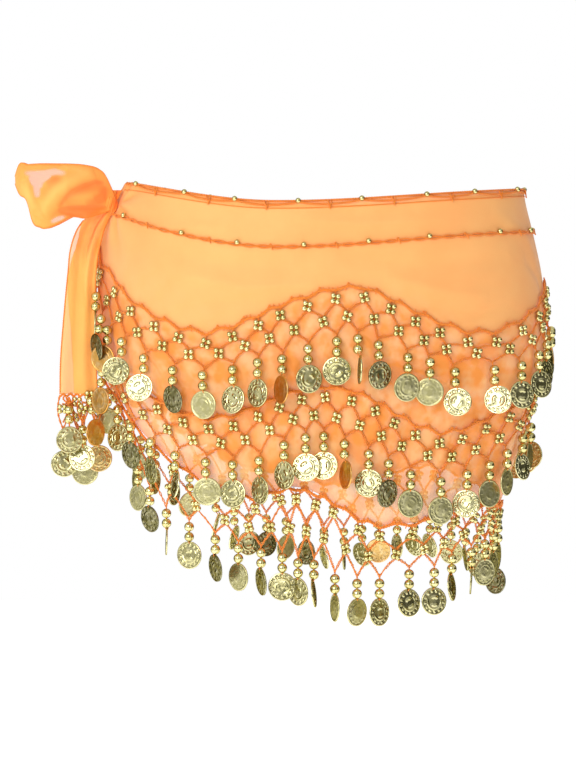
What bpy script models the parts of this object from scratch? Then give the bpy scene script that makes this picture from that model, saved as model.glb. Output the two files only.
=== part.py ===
"""Belly dance hip scarf: a chiffon wrap tied at one hip, with three tiers of crochet net and coin drops.

Frame: metres, +Z up. The origin is the middle of the waist opening, level with the top edge at the front.
The front of the wrap faces -Y. The knot sits on the -X side.

Everything round the hips is placed by a column and a height. There are COLUMNS columns round the hips, column 0
is the middle of the front, and columns count up towards +X. A real number of columns is allowed. The cloth has
its mesh corners half way between whole columns, and every trim is made from the cloth's own flat facets,
moved outwards, so that it follows them exactly.
"""

import math

import bpy
import numpy as np

MM = 0.001

# Driving dimensions
COLUMNS = 44  # drops in one tier, and facets of cloth round the hips
COLUMN_WIDTH = 22 * MM  # about one column at the widest part of the hips
SPLIT_RIGHT = 10.5  # column where the front stretch of cloth meets the back stretch
SPLIT_KNOT = -11.5  # column of the slit under the knot
FRONT_COLUMNS = range(-11, 11)
BACK_COLUMNS = range(11, 33)
SEAM = 0.3 * MM  # gap between pieces that meet
CLOTH = 1.2 * MM  # thickness of the cloth
LIFT = 1.1 * MM  # clearance between the cloth and what lies on it
CORD = 1.5 * MM  # thickness of the crochet, away from the cloth
SQUARENESS = 2.25  # exponent of the hip outline seen from above, 2 is an ellipse
WALL_ROWS = 10  # bands of cloth from the top edge to the hem

BEAD_RADIUS = 3.5 * MM
BEAD_STEP = 8.2 * MM  # from one drop bead to the next
BEAD_TO_COIN = 15.2 * MM  # from the lower bead's middle to the coin's middle
COIN_RADIUS = 10.2 * MM
COIN_THICKNESS = 1.2 * MM
THREAD = 1.2 * MM  # half width of a drop's thread
COIN_CLEARANCE = 4.4 * MM  # from the cloth to the middle of a coin that lies flat against it

# The hips, a section for each height
HIP_SECTIONS = [
    # height, half width, half depth (mm)
    (20, 162, 112),
    (0, 163, 113),
    (-30, 171, 117),
    (-60, 178, 120),
    (-90, 182, 122),
    (-115, 182.5, 122.5),
    (-140, 180, 122),
    (-170, 173, 120),
    (-200, 164, 117),
    (-230, 154, 114),
    (-262, 143, 111),
    (-345, 138, 109),
]

# Wavy lines round the hips. Each row is a high or a low point, and between rows the line is half a cosine wave.
TOP_EDGE = [
    # column, height (mm)
    (-10.5, 11),
    (-2.2, -3),
    (9.5, 6),
    (22, 0),
]
SECOND_CHAIN = [
    (-11.5, -12),
    (-2, -38),
    (8, -28),
    (22, -36),
]
TIER_1_LINE = [
    (-12.5, -35),
    (-4.3, -109),
    (0.7, -66),
    (5.5, -108),
    (10.3, -68),
    (15.3, -108),
    (20.3, -68),
    (25, -108),
]
TIER_2_LINE = [
    (-12.5, -92),
    (-4.0, -177),
    (0.0, -148),
    (4.5, -186),
    (9.8, -150),
    (14.5, -184),
    (19.5, -150),
    (24.5, -182),
]
TIER_3_LINE = [
    (-12.5, -150),
    (-3.3, -237),
    (-1.65, -227),
    (2.9, -259),
    (7.5, -249),
    (12, -258),
    (17, -238),
    (21.5, -258),
    (25.5, -240),
]

# One row for each tier of net. Depths are measured down from the tier's line.
TIERS = [
    # name, line, mean height, foot of the first flowers below the chain, depths of the second flowers and the
    # points (mm), shares of the wave kept at the second flowers and at the points
    dict(name="tier1", line=TIER_1_LINE, mean=-90, foot=4.0, row2=19.5, point=31.0, keep2=0.84, keep3=0.72),
    dict(name="tier2", line=TIER_2_LINE, mean=-166, foot=4.0, row2=19.5, point=31.0, keep2=0.86, keep3=0.80),
    dict(name="tier3", line=TIER_3_LINE, mean=-242, foot=5.5, row2=26.0, point=42.0, keep2=0.85, keep3=0.75),
]

# How much of its face each coin shows from straight ahead, in tenths, from column -11 to column 10.
# The back of each tier shows the same, seen from behind.
COIN_FACES = {
    "tier1": [5, 3, 2, 9, 10, 7, 9, 8, 7, 5, 9, 10, 1, 8, 9, 10, 9, 10, 9, 8, 5, 3],
    "tier2": [6, 3, 8, 7, 5, 3, 10, 9, 6, 7, 9, 7, 4, 9, 7, 9, 9, 10, 8, 5, 6, 3],
    "tier3": [7, 4, 7, 7, 1, 9, 5, 7, 4, 10, 7, 1, 3, 7, 7, 8, 9, 3, 1, 8, 4, 3],
}

# Net proportions
CHAIN_HALF = 1.7 * MM  # half the height of a heading chain
FLOWER_HALF = 0.13  # half the width of a flower's root on the heading chain, in columns
STRAND_HALF = 1.9 * MM  # half the height of a strand where two of them meet
ARM = 2.5 * MM  # height of the lowest arches
POINT_HALF = 0.06  # half the width of a point, in columns

# Knot, bow and tail
KNOT_COLUMN = -9.9
KNOT_HEIGHT = -5 * MM
KNOT_RADII = (5.5 * MM, 7 * MM, 8.5 * MM)
KNOT_CLEARANCE = 1.6 * MM  # between the cloth and the knot
PULL = 18 * MM  # how far the cloth is drawn out towards the knot
PULL_COLUMN = -11.2
PULL_HEIGHT = -20 * MM
PULL_SPREAD = (2.0, 29 * MM)  # in columns and in height

COLOURS = {
    # slot: base colour, roughness, metallic
    "chiffon": ((1.0, 0.42, 0.14), 0.75, 0.0),
    "crochet": ((0.88, 0.18, 0.04), 0.8, 0.0),
    "gilt": ((0.72, 0.60, 0.28), 0.28, 1.0),
}


def clear_scene():
    """Remove every object that a new file starts with."""
    for item in list(bpy.data.objects):
        bpy.data.objects.remove(item, do_unlink=True)


def make_material(slot):
    """A plain material of one slot's colour."""
    colour, roughness, metallic = COLOURS[slot]
    material = bpy.data.materials.new(slot)
    material.use_nodes = True
    shader = material.node_tree.nodes["Principled BSDF"]
    shader.inputs["Base Color"].default_value = (*colour, 1.0)
    shader.inputs["Roughness"].default_value = roughness
    shader.inputs["Metallic"].default_value = metallic
    return material


def add_object(name, points, faces, slot):
    """One named object with its own material, smooth but for its sharp corners."""
    mesh = bpy.data.meshes.new(name)
    mesh.from_pydata([tuple(p) for p in points], [], [tuple(f) for f in faces])
    mesh.update()
    mesh.shade_smooth()
    mesh.set_sharp_from_angle(angle=math.radians(40))
    item = bpy.data.objects.new(name, mesh)
    item.data.materials.append(make_material(slot))
    bpy.context.collection.objects.link(item)
    return item


# ---------------------------------------------------------------- the hips


def wave_height(rows, column):
    """Height of a wavy line at a column, in metres: half a cosine wave from each row to the next, round and round."""
    column = rows[0][0] + (column - rows[0][0]) % COLUMNS
    closed = rows + [(rows[0][0] + COLUMNS, rows[0][1])]
    for (start, high), (end, low) in zip(closed, closed[1:]):
        if column <= end:
            share = (1 - math.cos(math.pi * (column - start) / (end - start))) / 2
            return (high + (low - high) * share) * MM
    return closed[-1][1] * MM


def outline_point(angle, half_width, half_depth):
    """A point of the hip outline seen from above, a rounded oblong, angle 0 at the front."""
    side, ahead = math.sin(angle), math.cos(angle)
    power = 2 / SQUARENESS
    x = half_width * math.copysign(abs(side) ** power, side)
    y = -half_depth * math.copysign(abs(ahead) ** power, ahead)
    return x, y


def column_angles():
    """Angles of evenly spaced columns, found by walking round the widest outline."""
    steps = 4000
    widest = max(HIP_SECTIONS, key=lambda row: row[1])
    angles = np.linspace(0, 2 * math.pi, steps + 1)
    ring = np.array([outline_point(a, widest[1], widest[2]) for a in angles])
    walked = np.concatenate([[0], np.cumsum(np.hypot(*np.diff(ring, axis=0).T))])
    return angles, walked / walked[-1]


ANGLES, SHARES = column_angles()


def drape(column, height):
    """Soft outward folds of the cloth, which grow from the second chain down to the hem, in metres."""
    growth = min(max((-height - 0.10) / 0.12, 0), 1)
    turn = 2 * math.pi * column / COLUMNS
    folds = math.sin(9 * turn + 14 * height) + 0.8 * math.sin(14 * turn - 1.1)
    return 0.9 * MM * growth * folds


def knot_pull(column, height):
    """How far the cloth stands out where the knot draws it together, in metres."""
    sideways = (column - PULL_COLUMN + COLUMNS / 2) % COLUMNS - COLUMNS / 2
    upright = height - PULL_HEIGHT
    return PULL * math.exp(-((sideways / PULL_SPREAD[0]) ** 2) - (upright / PULL_SPREAD[1]) ** 2)


def pitch_shift(column):
    """Columns lie a little closer together at the middle of the front than at its sides."""
    column = (column + COLUMNS / 2) % COLUMNS - COLUMNS / 2
    return column - (0.3 * math.sin(math.pi * column / 8) if abs(column) < 8 else 0)


def corner_point(column, height, out):
    """A point of the smooth hip form, moved out by a distance."""
    heights = [row[0] * MM for row in reversed(HIP_SECTIONS)]
    half_width = np.interp(height, heights, [row[1] * MM for row in reversed(HIP_SECTIONS)])
    half_depth = np.interp(height, heights, [row[2] * MM for row in reversed(HIP_SECTIONS)])
    angle = np.interp((pitch_shift(column) / COLUMNS) % 1.0, SHARES, ANGLES)
    out = out + drape(column, height) + knot_pull(column, height)
    x, y = outline_point(angle, half_width + out, half_depth + out)
    return np.array([x, y, height])


def top_height(column):
    return wave_height(TOP_EDGE, column)


def row_height(column, row):
    """Height of one of the cloth's rows of mesh corners, 0 at the top edge and WALL_ROWS at the hem."""
    top = top_height(column)
    return top + (wave_height(TIER_3_LINE, column) - top) * row / WALL_ROWS


def seam_point(column, height, out):
    """A point on the straight pieces between the cloth's mesh corners in one column, moved out."""
    top, hem = top_height(column), wave_height(TIER_3_LINE, column)
    place = (top - height) / (top - hem) * WALL_ROWS
    if place <= 0 or place >= WALL_ROWS:
        return corner_point(column, height, out)
    row = math.floor(place)
    share = place - row
    above = corner_point(column, row_height(column, row), out)
    below = corner_point(column, row_height(column, row + 1), out)
    return (1 - share) * above + share * below


def panel_point(column, height, out=0.0):
    """A point on the cloth's flat facets, whose corners are half way between whole columns, moved out."""
    left = math.floor(column - 0.5) + 0.5
    share = column - left
    if share < 1e-9:
        return seam_point(left, height, out)
    return (1 - share) * seam_point(left, height, out) + share * seam_point(left + 1, height, out)


# ---------------------------------------------------------------- closed solids from grids and plates


class Solid:
    """Points and faces of one closed body."""

    def __init__(self):
        self.points = []
        self.faces = []

    def add(self, point):
        self.points.append(point)
        return len(self.points) - 1

    def add_plate(self, corners, polygons, place, open_edges=()):
        """A plate: polygons of named corners, seen anticlockwise from outside, given an outer and an inner side.

        place(corner, side) gives the point of a corner on side 0, outside, or 1, inside. Each edge that
        only one polygon has gets a wall, but for the open edges.
        """
        outer = {c: self.add(place(c, 0)) for c in corners}
        inner = {c: self.add(place(c, 1)) for c in corners}
        edges = set()
        for polygon in polygons:
            self.faces.append([outer[c] for c in polygon])
            self.faces.append([inner[c] for c in reversed(polygon)])
            edges.update(zip(polygon, polygon[1:] + polygon[:1]))
        for start, end in edges:
            if (end, start) not in edges and (start, end) not in open_edges:
                self.faces.append([outer[end], outer[start], inner[start], inner[end]])
        return outer, inner

    def add_tube(self, first_ring, rings):
        """Rings of points joined one after another from a ring that is there already, with the last one capped."""
        last = first_ring
        count = len(first_ring)
        for ring in rings:
            fresh = [self.add(p) for p in ring]
            for i in range(count):
                j = (i + 1) % count
                self.faces.append([last[j], last[i], fresh[i], fresh[j]])
            last = fresh
        self.faces.append(list(reversed(last)))

    def build(self, name, slot):
        return add_object(name, self.points, self.faces, slot)


def grid_wall(columns, rows, place):
    """A closed wall of cloth from a grid. place(i, j, side) gives its points, rows counting downwards.

    Each cell is cut along the diagonal that lies further in, so that a twisted cell stays clear of the trims
    that are made from its corners.
    """
    solid = Solid()
    corners = [(i, j) for i in range(columns + 1) for j in range(rows + 1)]
    polygons = []
    for i in range(columns):
        for j in range(rows):
            high, low = (i, j), (i, j + 1)
            next_high, next_low = (i + 1, j), (i + 1, j + 1)
            falling = np.linalg.norm((place(*high, 0) + place(*next_low, 0))[:2])
            rising = np.linalg.norm((place(*low, 0) + place(*next_high, 0))[:2])
            if falling < rising:
                polygons += [[high, low, next_low], [high, next_low, next_high]]
            else:
                polygons += [[high, low, next_high], [low, next_low, next_high]]
    solid.add_plate(corners, polygons, lambda corner, side: place(corner[0], corner[1], side))
    return solid


def ring_of_boxes(frames, closed):
    """A cord of four sides through frames, each frame being four points in order."""
    solid = Solid()
    rings = [[solid.add(p) for p in frame] for frame in frames]
    pairs = list(zip(rings, rings[1:] + rings[:1])) if closed else list(zip(rings, rings[1:]))
    for here, there in pairs:
        for i in range(4):
            j = (i + 1) % 4
            solid.faces.append([here[i], here[j], there[j], there[i]])
    if not closed:
        solid.faces.append(list(reversed(rings[0])))
        solid.faces.append(list(rings[-1]))
    return solid


# ---------------------------------------------------------------- cloth and chains


def build_wrap(name, start, end):
    """One stretch of the body cloth, from one column to another, top edge to hem."""
    columns = round(end - start)
    trim = SEAM / 2 / COLUMN_WIDTH  # half a seam, in columns

    def place(i, j, side):
        column = min(max(start + i, start + trim), end - trim)
        return panel_point(column, row_height(column, j), -CLOTH * side)

    return grid_wall(columns, WALL_ROWS, place).build(name, "chiffon")


def build_edge_chain():
    """The double chain on the top edge, one ring of four sides that sits on the cloth's edge."""
    tall, half_deep = 4.6 * MM, 1.3 * MM
    frames = []
    for i in range(COLUMNS):
        column = SPLIT_KNOT + i
        low = top_height(column) + SEAM
        near, far = -CLOTH / 2 + half_deep, -CLOTH / 2 - half_deep
        frames.append(
            [
                panel_point(column, low, far),
                panel_point(column, low + tall, far),
                panel_point(column, low + tall, near),
                panel_point(column, low, near),
            ]
        )
    return ring_of_boxes(frames, closed=True).build("edge_chain", "crochet")


def build_second_chain():
    """The chain across the body, open at the knot, where both its ends stop."""
    tall, deep = 2.6 * MM, 2.2 * MM
    start, end = -9.55, 32.2  # columns where it stops, on each side of the knot
    stops = [start] + [SPLIT_KNOT + i for i in range(2, COLUMNS)] + [end]
    frames = []
    for column in stops:
        low = wave_height(SECOND_CHAIN, column) - tall / 2
        near, far = LIFT + deep, LIFT
        frames.append(
            [
                panel_point(column, low, far),
                panel_point(column, low + tall, far),
                panel_point(column, low + tall, near),
                panel_point(column, low, near),
            ]
        )
    return ring_of_boxes(frames, closed=False).build("second_chain", "crochet")


# ---------------------------------------------------------------- net and drops


def tier_height(tier, column, depth, keep):
    """Height of a row of a tier: its line with a share of the wave kept, and a depth below it."""
    mean = tier["mean"] * MM
    return mean + (wave_height(tier["line"], column) - mean) * keep - depth * MM


def flower_foot(tier, column):
    return wave_height(tier["line"], column) - CHAIN_HALF - tier["foot"] * MM


def second_row(tier, column):
    return tier_height(tier, column, tier["row2"], tier["keep2"])


def point_height(tier, column):
    return tier_height(tier, column, tier["point"], tier["keep3"])


def build_net(tier, side, columns):
    """The heading chain, the first flowers and the strands down to the second flowers, as one cut plate."""
    solid = Solid()
    first, last = columns[0], columns[-1]
    trim = SEAM / COLUMN_WIDTH
    heights = {}
    polygons = []

    def line(column):
        return wave_height(tier["line"], column)

    def half_stop(i):
        """The facet corner to the right of column i, kept just inside the ends of this stretch."""
        return min(max(i + 0.5, first - 0.5 + trim), last + 0.5 - trim)

    for i in range(first - 1, last + 1):
        edge = half_stop(i)
        heights[("upper", i)] = (edge, line(edge) + CHAIN_HALF)
        heights[("lower", i)] = (edge, line(edge) - CHAIN_HALF)
    for i in columns:
        left, right = i - FLOWER_HALF, i + FLOWER_HALF
        heights[("left", i)] = (left, line(left) - CHAIN_HALF)
        heights[("right", i)] = (right, line(right) - CHAIN_HALF)
        heights[("foot", i)] = (i, flower_foot(tier, i))
        u0, u1, l0, l1 = ("upper", i - 1), ("upper", i), ("lower", i - 1), ("lower", i)
        f0, f1, foot = ("left", i), ("right", i), ("foot", i)
        polygons += [[u0, l0, f0], [u0, f0, f1, u1], [u1, f1, l1], [f0, foot, f1]]
        if i < last:
            middle = second_row(tier, i + 0.5)
            heights[("crown", i)] = (i + 0.5, middle + STRAND_HALF)
            heights[("sole", i)] = (i + 0.5, middle - STRAND_HALF)
            crown, sole = ("crown", i), ("sole", i)
            polygons += [[foot, sole, crown, f1], [sole, ("foot", i + 1), ("left", i + 1), crown]]

    def place(corner, inside):
        column, height = heights[corner]
        return panel_point(column, height, LIFT + CORD * (1 - inside))

    solid.add_plate(list(heights), polygons, place)
    return solid.build(f"{tier['name']}_net_{side}", "crochet")


def flat_ring(middle, along, half_width, half_depth):
    """Four points about a middle: a flat rectangle across a thread, its width in a direction along the ground."""
    across = np.array([along[1], -along[0], 0.0])
    return [
        middle - along * half_width + across * half_depth,
        middle + along * half_width + across * half_depth,
        middle + along * half_width - across * half_depth,
        middle - along * half_width - across * half_depth,
    ]


def drop_rings(bead, lower_bead, coin, along, turn):
    """Rings of one drop: two round beads and a coin turned about its thread."""
    cosine, sine = math.cos(turn), math.sin(turn)
    coin_along = np.array([along[0] * cosine - along[1] * sine, along[0] * sine + along[1] * cosine, 0.0])
    down = np.array([0.0, 0.0, -1.0])
    half_coin = COIN_THICKNESS / 2
    return [
        flat_ring(bead, along, BEAD_RADIUS, BEAD_RADIUS),
        flat_ring((bead + lower_bead) / 2, along, THREAD, THREAD),
        flat_ring(lower_bead, along, BEAD_RADIUS, BEAD_RADIUS),
        flat_ring(coin - down * COIN_RADIUS, coin_along, THREAD, half_coin),
        flat_ring(coin - down * COIN_RADIUS * 0.2, coin_along, COIN_RADIUS, half_coin),
        flat_ring(coin + down * COIN_RADIUS, coin_along, COIN_RADIUS * 0.5, half_coin),
    ]


def coin_turn(along, share, ahead):
    """Angle of a coin from lying flat on the cloth, so that a share of its face shows from one side of the hips."""
    cloth = (math.atan2(along[1], along[0]) - ahead + math.pi) % (2 * math.pi) - math.pi
    return math.copysign(math.acos(share), cloth) - cloth


def layer_below(tier, column, height):
    """Thickness of what lies on the cloth at a height below a tier: nothing, or the next tier's net."""
    lower = TIERS[TIERS.index(tier) + 1]
    return LIFT + CORD if height < wave_height(lower["line"], column) + CHAIN_HALF else 0.0


def hang(column, root, height, clearance):
    """A point of a drop: straight below its root, or further out where the cloth is in the way."""
    plumb = np.array([root[0], root[1], height])
    pushed = panel_point(column, height, clearance)
    return pushed if np.hypot(pushed[0], pushed[1]) > np.hypot(plumb[0], plumb[1]) else plumb


def build_drops(tier, side, columns):
    """The lowest arches of a tier, a narrow strip apart from the net above it, with a drop at each point."""
    solid = Solid()
    places = {}
    polygons = []
    last = columns[-1]
    faces = COIN_FACES[tier["name"]]
    free = tier["name"] == "tier3"
    for i in columns:
        low = point_height(tier, i)
        places[("tip", i)] = (i, low + ARM)
        places[("left", i)] = (i - POINT_HALF, low)
        places[("right", i)] = (i + POINT_HALF, low)
        tip, left, right = ("tip", i), ("left", i), ("right", i)
        polygons.append([tip, left, right])
        if i < last:
            top = second_row(tier, i + 0.5) - STRAND_HALF - SEAM * 1.5
            places[("crown", i)] = (i + 0.5, top)
            places[("sole", i)] = (i + 0.5, top - ARM)
            crown, sole = ("crown", i), ("sole", i)
            polygons += [[right, sole, crown, tip], [sole, ("left", i + 1), ("tip", i + 1), crown]]

    def place(corner, inside):
        column, height = places[corner]
        return panel_point(column, height, LIFT + CORD * (1 - inside))

    points = {(("left", i), ("right", i)) for i in columns}
    outer, inner = solid.add_plate(list(places), polygons, place, open_edges=points)
    for i in columns:
        ring = [outer[("left", i)], outer[("right", i)], inner[("right", i)], inner[("left", i)]]
        root = sum(solid.points[k] for k in ring) / 4
        along = solid.points[ring[1]] - solid.points[ring[0]]
        along[2] = 0
        along = along / np.linalg.norm(along)
        turn = coin_turn(along, faces[(i - columns[0]) % len(faces)] / 10, ahead=0 if side == "front" else math.pi)
        bead_height = root[2] - BEAD_RADIUS - 1.8 * MM
        coin_height = bead_height - BEAD_STEP - BEAD_TO_COIN
        bead_clear = coin_clear = 0
        if not free:
            bead_clear = BEAD_RADIUS + LIFT + layer_below(tier, i, bead_height - BEAD_STEP - BEAD_RADIUS)
            coin_clear = COIN_CLEARANCE + COIN_RADIUS * abs(math.sin(turn))
        bead = hang(i, root, bead_height, bead_clear)
        lower_bead = hang(i, bead, bead_height - BEAD_STEP, bead_clear)
        coin = hang(i, lower_bead, coin_height, coin_clear)
        solid.add_tube(ring, drop_rings(bead, lower_bead, coin, along, turn))
    return solid.build(f"{tier['name']}_drops_{side}", "gilt")


# ---------------------------------------------------------------- knot, bow and tail


def knot_middle():
    return panel_point(KNOT_COLUMN, KNOT_HEIGHT, KNOT_RADII[0] + KNOT_CLEARANCE)


def build_knot():
    """The tied knot: a small ball with two wraps of cloth slanting across it."""
    around, up = 12, 7
    middle = knot_middle()
    solid = Solid()
    top = solid.add(middle + np.array([0, 0, KNOT_RADII[2]]))
    rings = []
    for j in range(1, up):
        polar = math.pi * j / up
        ring = []
        for i in range(around):
            turn = 2 * math.pi * i / around
            wraps = 1 + 0.07 * math.cos(2 * turn + 3 * polar)
            ring.append(
                solid.add(
                    middle
                    + np.array(
                        [
                            KNOT_RADII[0] * wraps * math.sin(polar) * math.cos(turn),
                            KNOT_RADII[1] * wraps * math.sin(polar) * math.sin(turn),
                            KNOT_RADII[2] * math.cos(polar),
                        ]
                    )
                )
            )
        rings.append(ring)
    bottom = solid.add(middle - np.array([0, 0, KNOT_RADII[2]]))
    for i in range(around):
        j = (i + 1) % around
        solid.faces.append([top, rings[0][i], rings[0][j]])
        solid.faces.append([bottom, rings[-1][j], rings[-1][i]])
        for here, there in zip(rings, rings[1:]):
            solid.faces.append([here[i], there[i], there[j], here[j]])
    return solid.build("knot", "chiffon")


# The bow loop, measured from the knot's middle towards -X
BOW_OUTLINE = [
    # reach, top, bottom (mm)
    (1, 15, 11.5),
    (3.3, 24, 10.5),
    (5.8, 26, 7),
    (7.4, 26.5, -4),
    (9.3, 27.5, -8.5),
    (20.5, 31.5, -12.5),
    (31.5, 32.2, -11.2),
    (45, 32.4, -18.6),
    (57, 32.4, -20.3),
    (64.4, 32, -12),
    (67, 31.8, -1),
    (75, 30.8, 8.5),
    (78.4, 22, 16),
]
BOW_HALF_DEPTH = 13 * MM
BOW_FORWARD = 4 * MM  # the loop lies this far in front of the knot's middle


def build_bow():
    """The bow loop: a band of cloth that leaves the knot, turns back and comes home, folded along its length."""
    around, rows = 22, 5
    middle = knot_middle()
    reaches = [row[0] for row in BOW_OUTLINE]
    near, far = reaches[0] * MM, reaches[-1] * MM

    def place(i, j, side):
        turn = 2 * math.pi * i / around
        swell = (1 - math.cos(turn)) / 2
        reach = near + (far - near) * swell
        top = np.interp(reach / MM, reaches, [row[1] for row in BOW_OUTLINE]) * MM
        bottom = np.interp(reach / MM, reaches, [row[2] for row in BOW_OUTLINE]) * MM
        share = j / rows
        depth = BOW_HALF_DEPTH * (0.25 + 0.75 * min(1, 2.2 * swell))
        depth *= 1 + 0.16 * math.sin(2 * math.pi * share * 1.5 + 1.0)
        depth -= CLOTH * side
        reach_in = CLOTH * side * math.cos(turn)
        across = math.sin(turn)
        height = top + (bottom - top) * share
        return middle + np.array([-(reach + reach_in), across * depth - BOW_FORWARD, height])

    solid = Solid()
    corners = [(i, j) for i in range(around) for j in range(rows + 1)]
    polygons = []
    for i in range(around):
        k = (i + 1) % around
        for j in range(rows):
            polygons.append([(i, j), (i, j + 1), (k, j + 1), (k, j)])
    solid.add_plate(corners, polygons, lambda corner, side: place(corner[0], corner[1], side))
    return solid.build("bow_loop", "chiffon")


def build_corner_gather():
    """The pinch of cloth that stands up from the knot beside the wrap's front corner."""
    sides = 8
    foot = knot_middle() + np.array([0.5 * MM, 1 * MM, KNOT_RADII[2] + 0.4 * MM])
    head = foot + np.array([3 * MM, 2 * MM, 4.5 * MM])
    solid = Solid()
    rings = []
    for middle, half_width, half_depth in ((foot, 1.8 * MM, 2.5 * MM), (head, 3.2 * MM, 4.5 * MM)):
        ring = []
        for i in range(sides):
            turn = 2 * math.pi * i / sides
            ring.append(solid.add(middle + np.array([half_width * math.cos(turn), half_depth * math.sin(turn), 0])))
        rings.append(ring)
    solid.faces.append(list(reversed(rings[0])))
    solid.faces.append(list(rings[1]))
    for i in range(sides):
        j = (i + 1) % sides
        solid.faces.append([rings[0][i], rings[0][j], rings[1][j], rings[1][i]])
    return solid.build("corner_gather", "chiffon")


# The tail, which hangs from the knot's outer side
TAIL_ROWS = [
    # height, outer edge x, inner edge x, middle y, fold depth (mm)
    (-13.8, -192, -176, -26, 0),
    (-19, -197, -180, -28, 0.8),
    (-25, -201.5, -182, -30.5, 2),
    (-32, -205.5, -183.5, -33, 3.5),
    (-43, -210, -186, -35, 4.5),
    (-60, -213, -189, -34, 5),
    (-97, -219, -194, -26, 5),
    (-138, -225, -198, -14, 5),
    (-163, -228, -199, -10, 5),
]
TAIL_FOLDS = 1.75
TAIL_SLANT = 5 * MM  # how much lower the top of the tail is at its outer edge


def tail_point(share, height):
    """A point of the tail's middle surface, share 0 at its outer edge and 1 at its inner edge."""
    rows = list(reversed(TAIL_ROWS))
    heights = [row[0] for row in rows]
    outer, inner, middle, fold = (np.interp(height / MM, heights, [row[k] for row in rows]) * MM for k in (1, 2, 3, 4))
    x = outer + (inner - outer) * share
    y = middle - fold * math.sin(2 * math.pi * TAIL_FOLDS * share + 0.6)
    return np.array([x, y, height])


def tail_frame(share, height):
    """A point of the tail and its forward normal, level with the ground."""
    ahead = tail_point(min(share + 0.01, 1), height) - tail_point(max(share - 0.01, 0), height)
    normal = np.array([ahead[1], -ahead[0], 0.0])
    return tail_point(share, height), normal / np.linalg.norm(normal)


def build_tail():
    columns, rows, slanted_rows = 14, len(TAIL_ROWS) - 1, 4

    def place(i, j, side):
        slant = TAIL_SLANT * (1 - i / columns) * max(0, 1 - j / slanted_rows)
        point, normal = tail_frame(i / columns, TAIL_ROWS[j][0] * MM - slant)
        return point + normal * CLOTH * (0.5 - side)

    return grid_wall(columns, rows, place).build("tail", "chiffon")


# The drops on the tail's end
TAIL_DROPS = [
    # root share, coin x, coin y, coin height (mm), turn (degrees)
    (0.06, -223, -14, -224, 15),
    (0.24, -216.5, -34, -206, 20),
    (0.44, -207, -8, -232, 10),
    (0.62, -207.5, -25, -219, 20),
    (0.80, -196, -36, -200, 35),
    (0.96, -189, -14, -219, 40),
]


def build_tail_drops():
    """A narrow strip just below the tail's end, with six drops."""
    solid = Solid()
    top = TAIL_ROWS[-1][0] * MM - SEAM
    tall = 4 * MM
    half_root = 0.035
    stops = [0.0]
    for row in TAIL_DROPS:
        stops += [row[0] - half_root, row[0] + half_root]
    stops[0] = 0.0
    stops.append(1.0)
    places = {}
    polygons = []
    for k, share in enumerate(stops):
        places[("top", k)] = (share, top)
        places[("foot", k)] = (share, top - tall)
        if k:
            polygons.append([("top", k - 1), ("foot", k - 1), ("foot", k), ("top", k)])

    def place(corner, inside):
        share, height = places[corner]
        point, normal = tail_frame(share, height)
        return point + normal * THREAD * (1 - 2 * inside)

    roots = {(("foot", 2 * n + 1), ("foot", 2 * n + 2)) for n in range(len(TAIL_DROPS))}
    outer, inner = solid.add_plate(list(places), polygons, place, open_edges=roots)
    along = np.array([1.0, 0.0, 0.0])
    for n, (share, x, y, height, degrees) in enumerate(TAIL_DROPS):
        here, there = ("foot", 2 * n + 1), ("foot", 2 * n + 2)
        ring = [outer[here], outer[there], inner[there], inner[here]]
        root = sum(solid.points[k] for k in ring) / 4
        coin = np.array([x, y, height]) * MM
        span = root[2] - coin[2]
        lower_bead = coin + (root - coin) * BEAD_TO_COIN / span
        bead = coin + (root - coin) * (BEAD_TO_COIN + BEAD_STEP) / span
        solid.add_tube(ring, drop_rings(bead, lower_bead, coin, along, math.radians(degrees)))
    return solid.build("tail_drops", "gilt")


def build_scarf():
    clear_scene()
    build_wrap("wrap_front", SPLIT_KNOT, SPLIT_RIGHT)
    build_wrap("wrap_back", SPLIT_RIGHT, SPLIT_KNOT + COLUMNS)
    build_edge_chain()
    build_second_chain()
    for tier in TIERS:
        for side, columns in (("front", FRONT_COLUMNS), ("back", BACK_COLUMNS)):
            build_net(tier, side, columns)
            build_drops(tier, side, columns)
    build_knot()
    build_corner_gather()
    build_bow()
    build_tail()
    build_tail_drops()


build_scarf()
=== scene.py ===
# %% [markdown]
# # Belly dance hip scarf
# A sheer chiffon wrap goes once round the hips and is tied at one side with a bow loop and a hanging tail.
# Crochet chains edge it, three wavy tiers of crochet net lie over it, and each point of the net carries two
# beads and a coin.
#
# Everything round the hips is placed by two numbers: a column, which counts drops round the body from the
# middle of the front, and a height. One function turns them into a point of the cloth, so cloth, thread,
# beads and coins that are all made from it can never drift apart.

import math

import bpy
import numpy as np
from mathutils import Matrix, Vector


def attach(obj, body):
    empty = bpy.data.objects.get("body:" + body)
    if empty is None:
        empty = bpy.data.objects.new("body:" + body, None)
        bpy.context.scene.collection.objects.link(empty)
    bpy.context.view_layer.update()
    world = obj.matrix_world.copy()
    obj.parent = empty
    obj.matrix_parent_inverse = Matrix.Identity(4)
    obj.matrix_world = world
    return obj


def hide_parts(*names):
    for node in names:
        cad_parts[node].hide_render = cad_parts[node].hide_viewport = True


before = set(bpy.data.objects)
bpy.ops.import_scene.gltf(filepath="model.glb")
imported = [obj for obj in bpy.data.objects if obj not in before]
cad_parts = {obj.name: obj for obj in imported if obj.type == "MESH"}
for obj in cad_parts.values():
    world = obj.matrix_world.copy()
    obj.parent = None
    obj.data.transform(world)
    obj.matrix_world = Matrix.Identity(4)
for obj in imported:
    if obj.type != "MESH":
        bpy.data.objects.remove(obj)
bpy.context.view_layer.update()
MM = 0.001
TURN = 2 * math.pi
print("frame loaded:", len(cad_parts), "nodes")

# %% [markdown]
# ## The camera
# A camera at hip height, a long lens, and a slight look downwards. It comes first, because every later step
# is judged through it.

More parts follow.
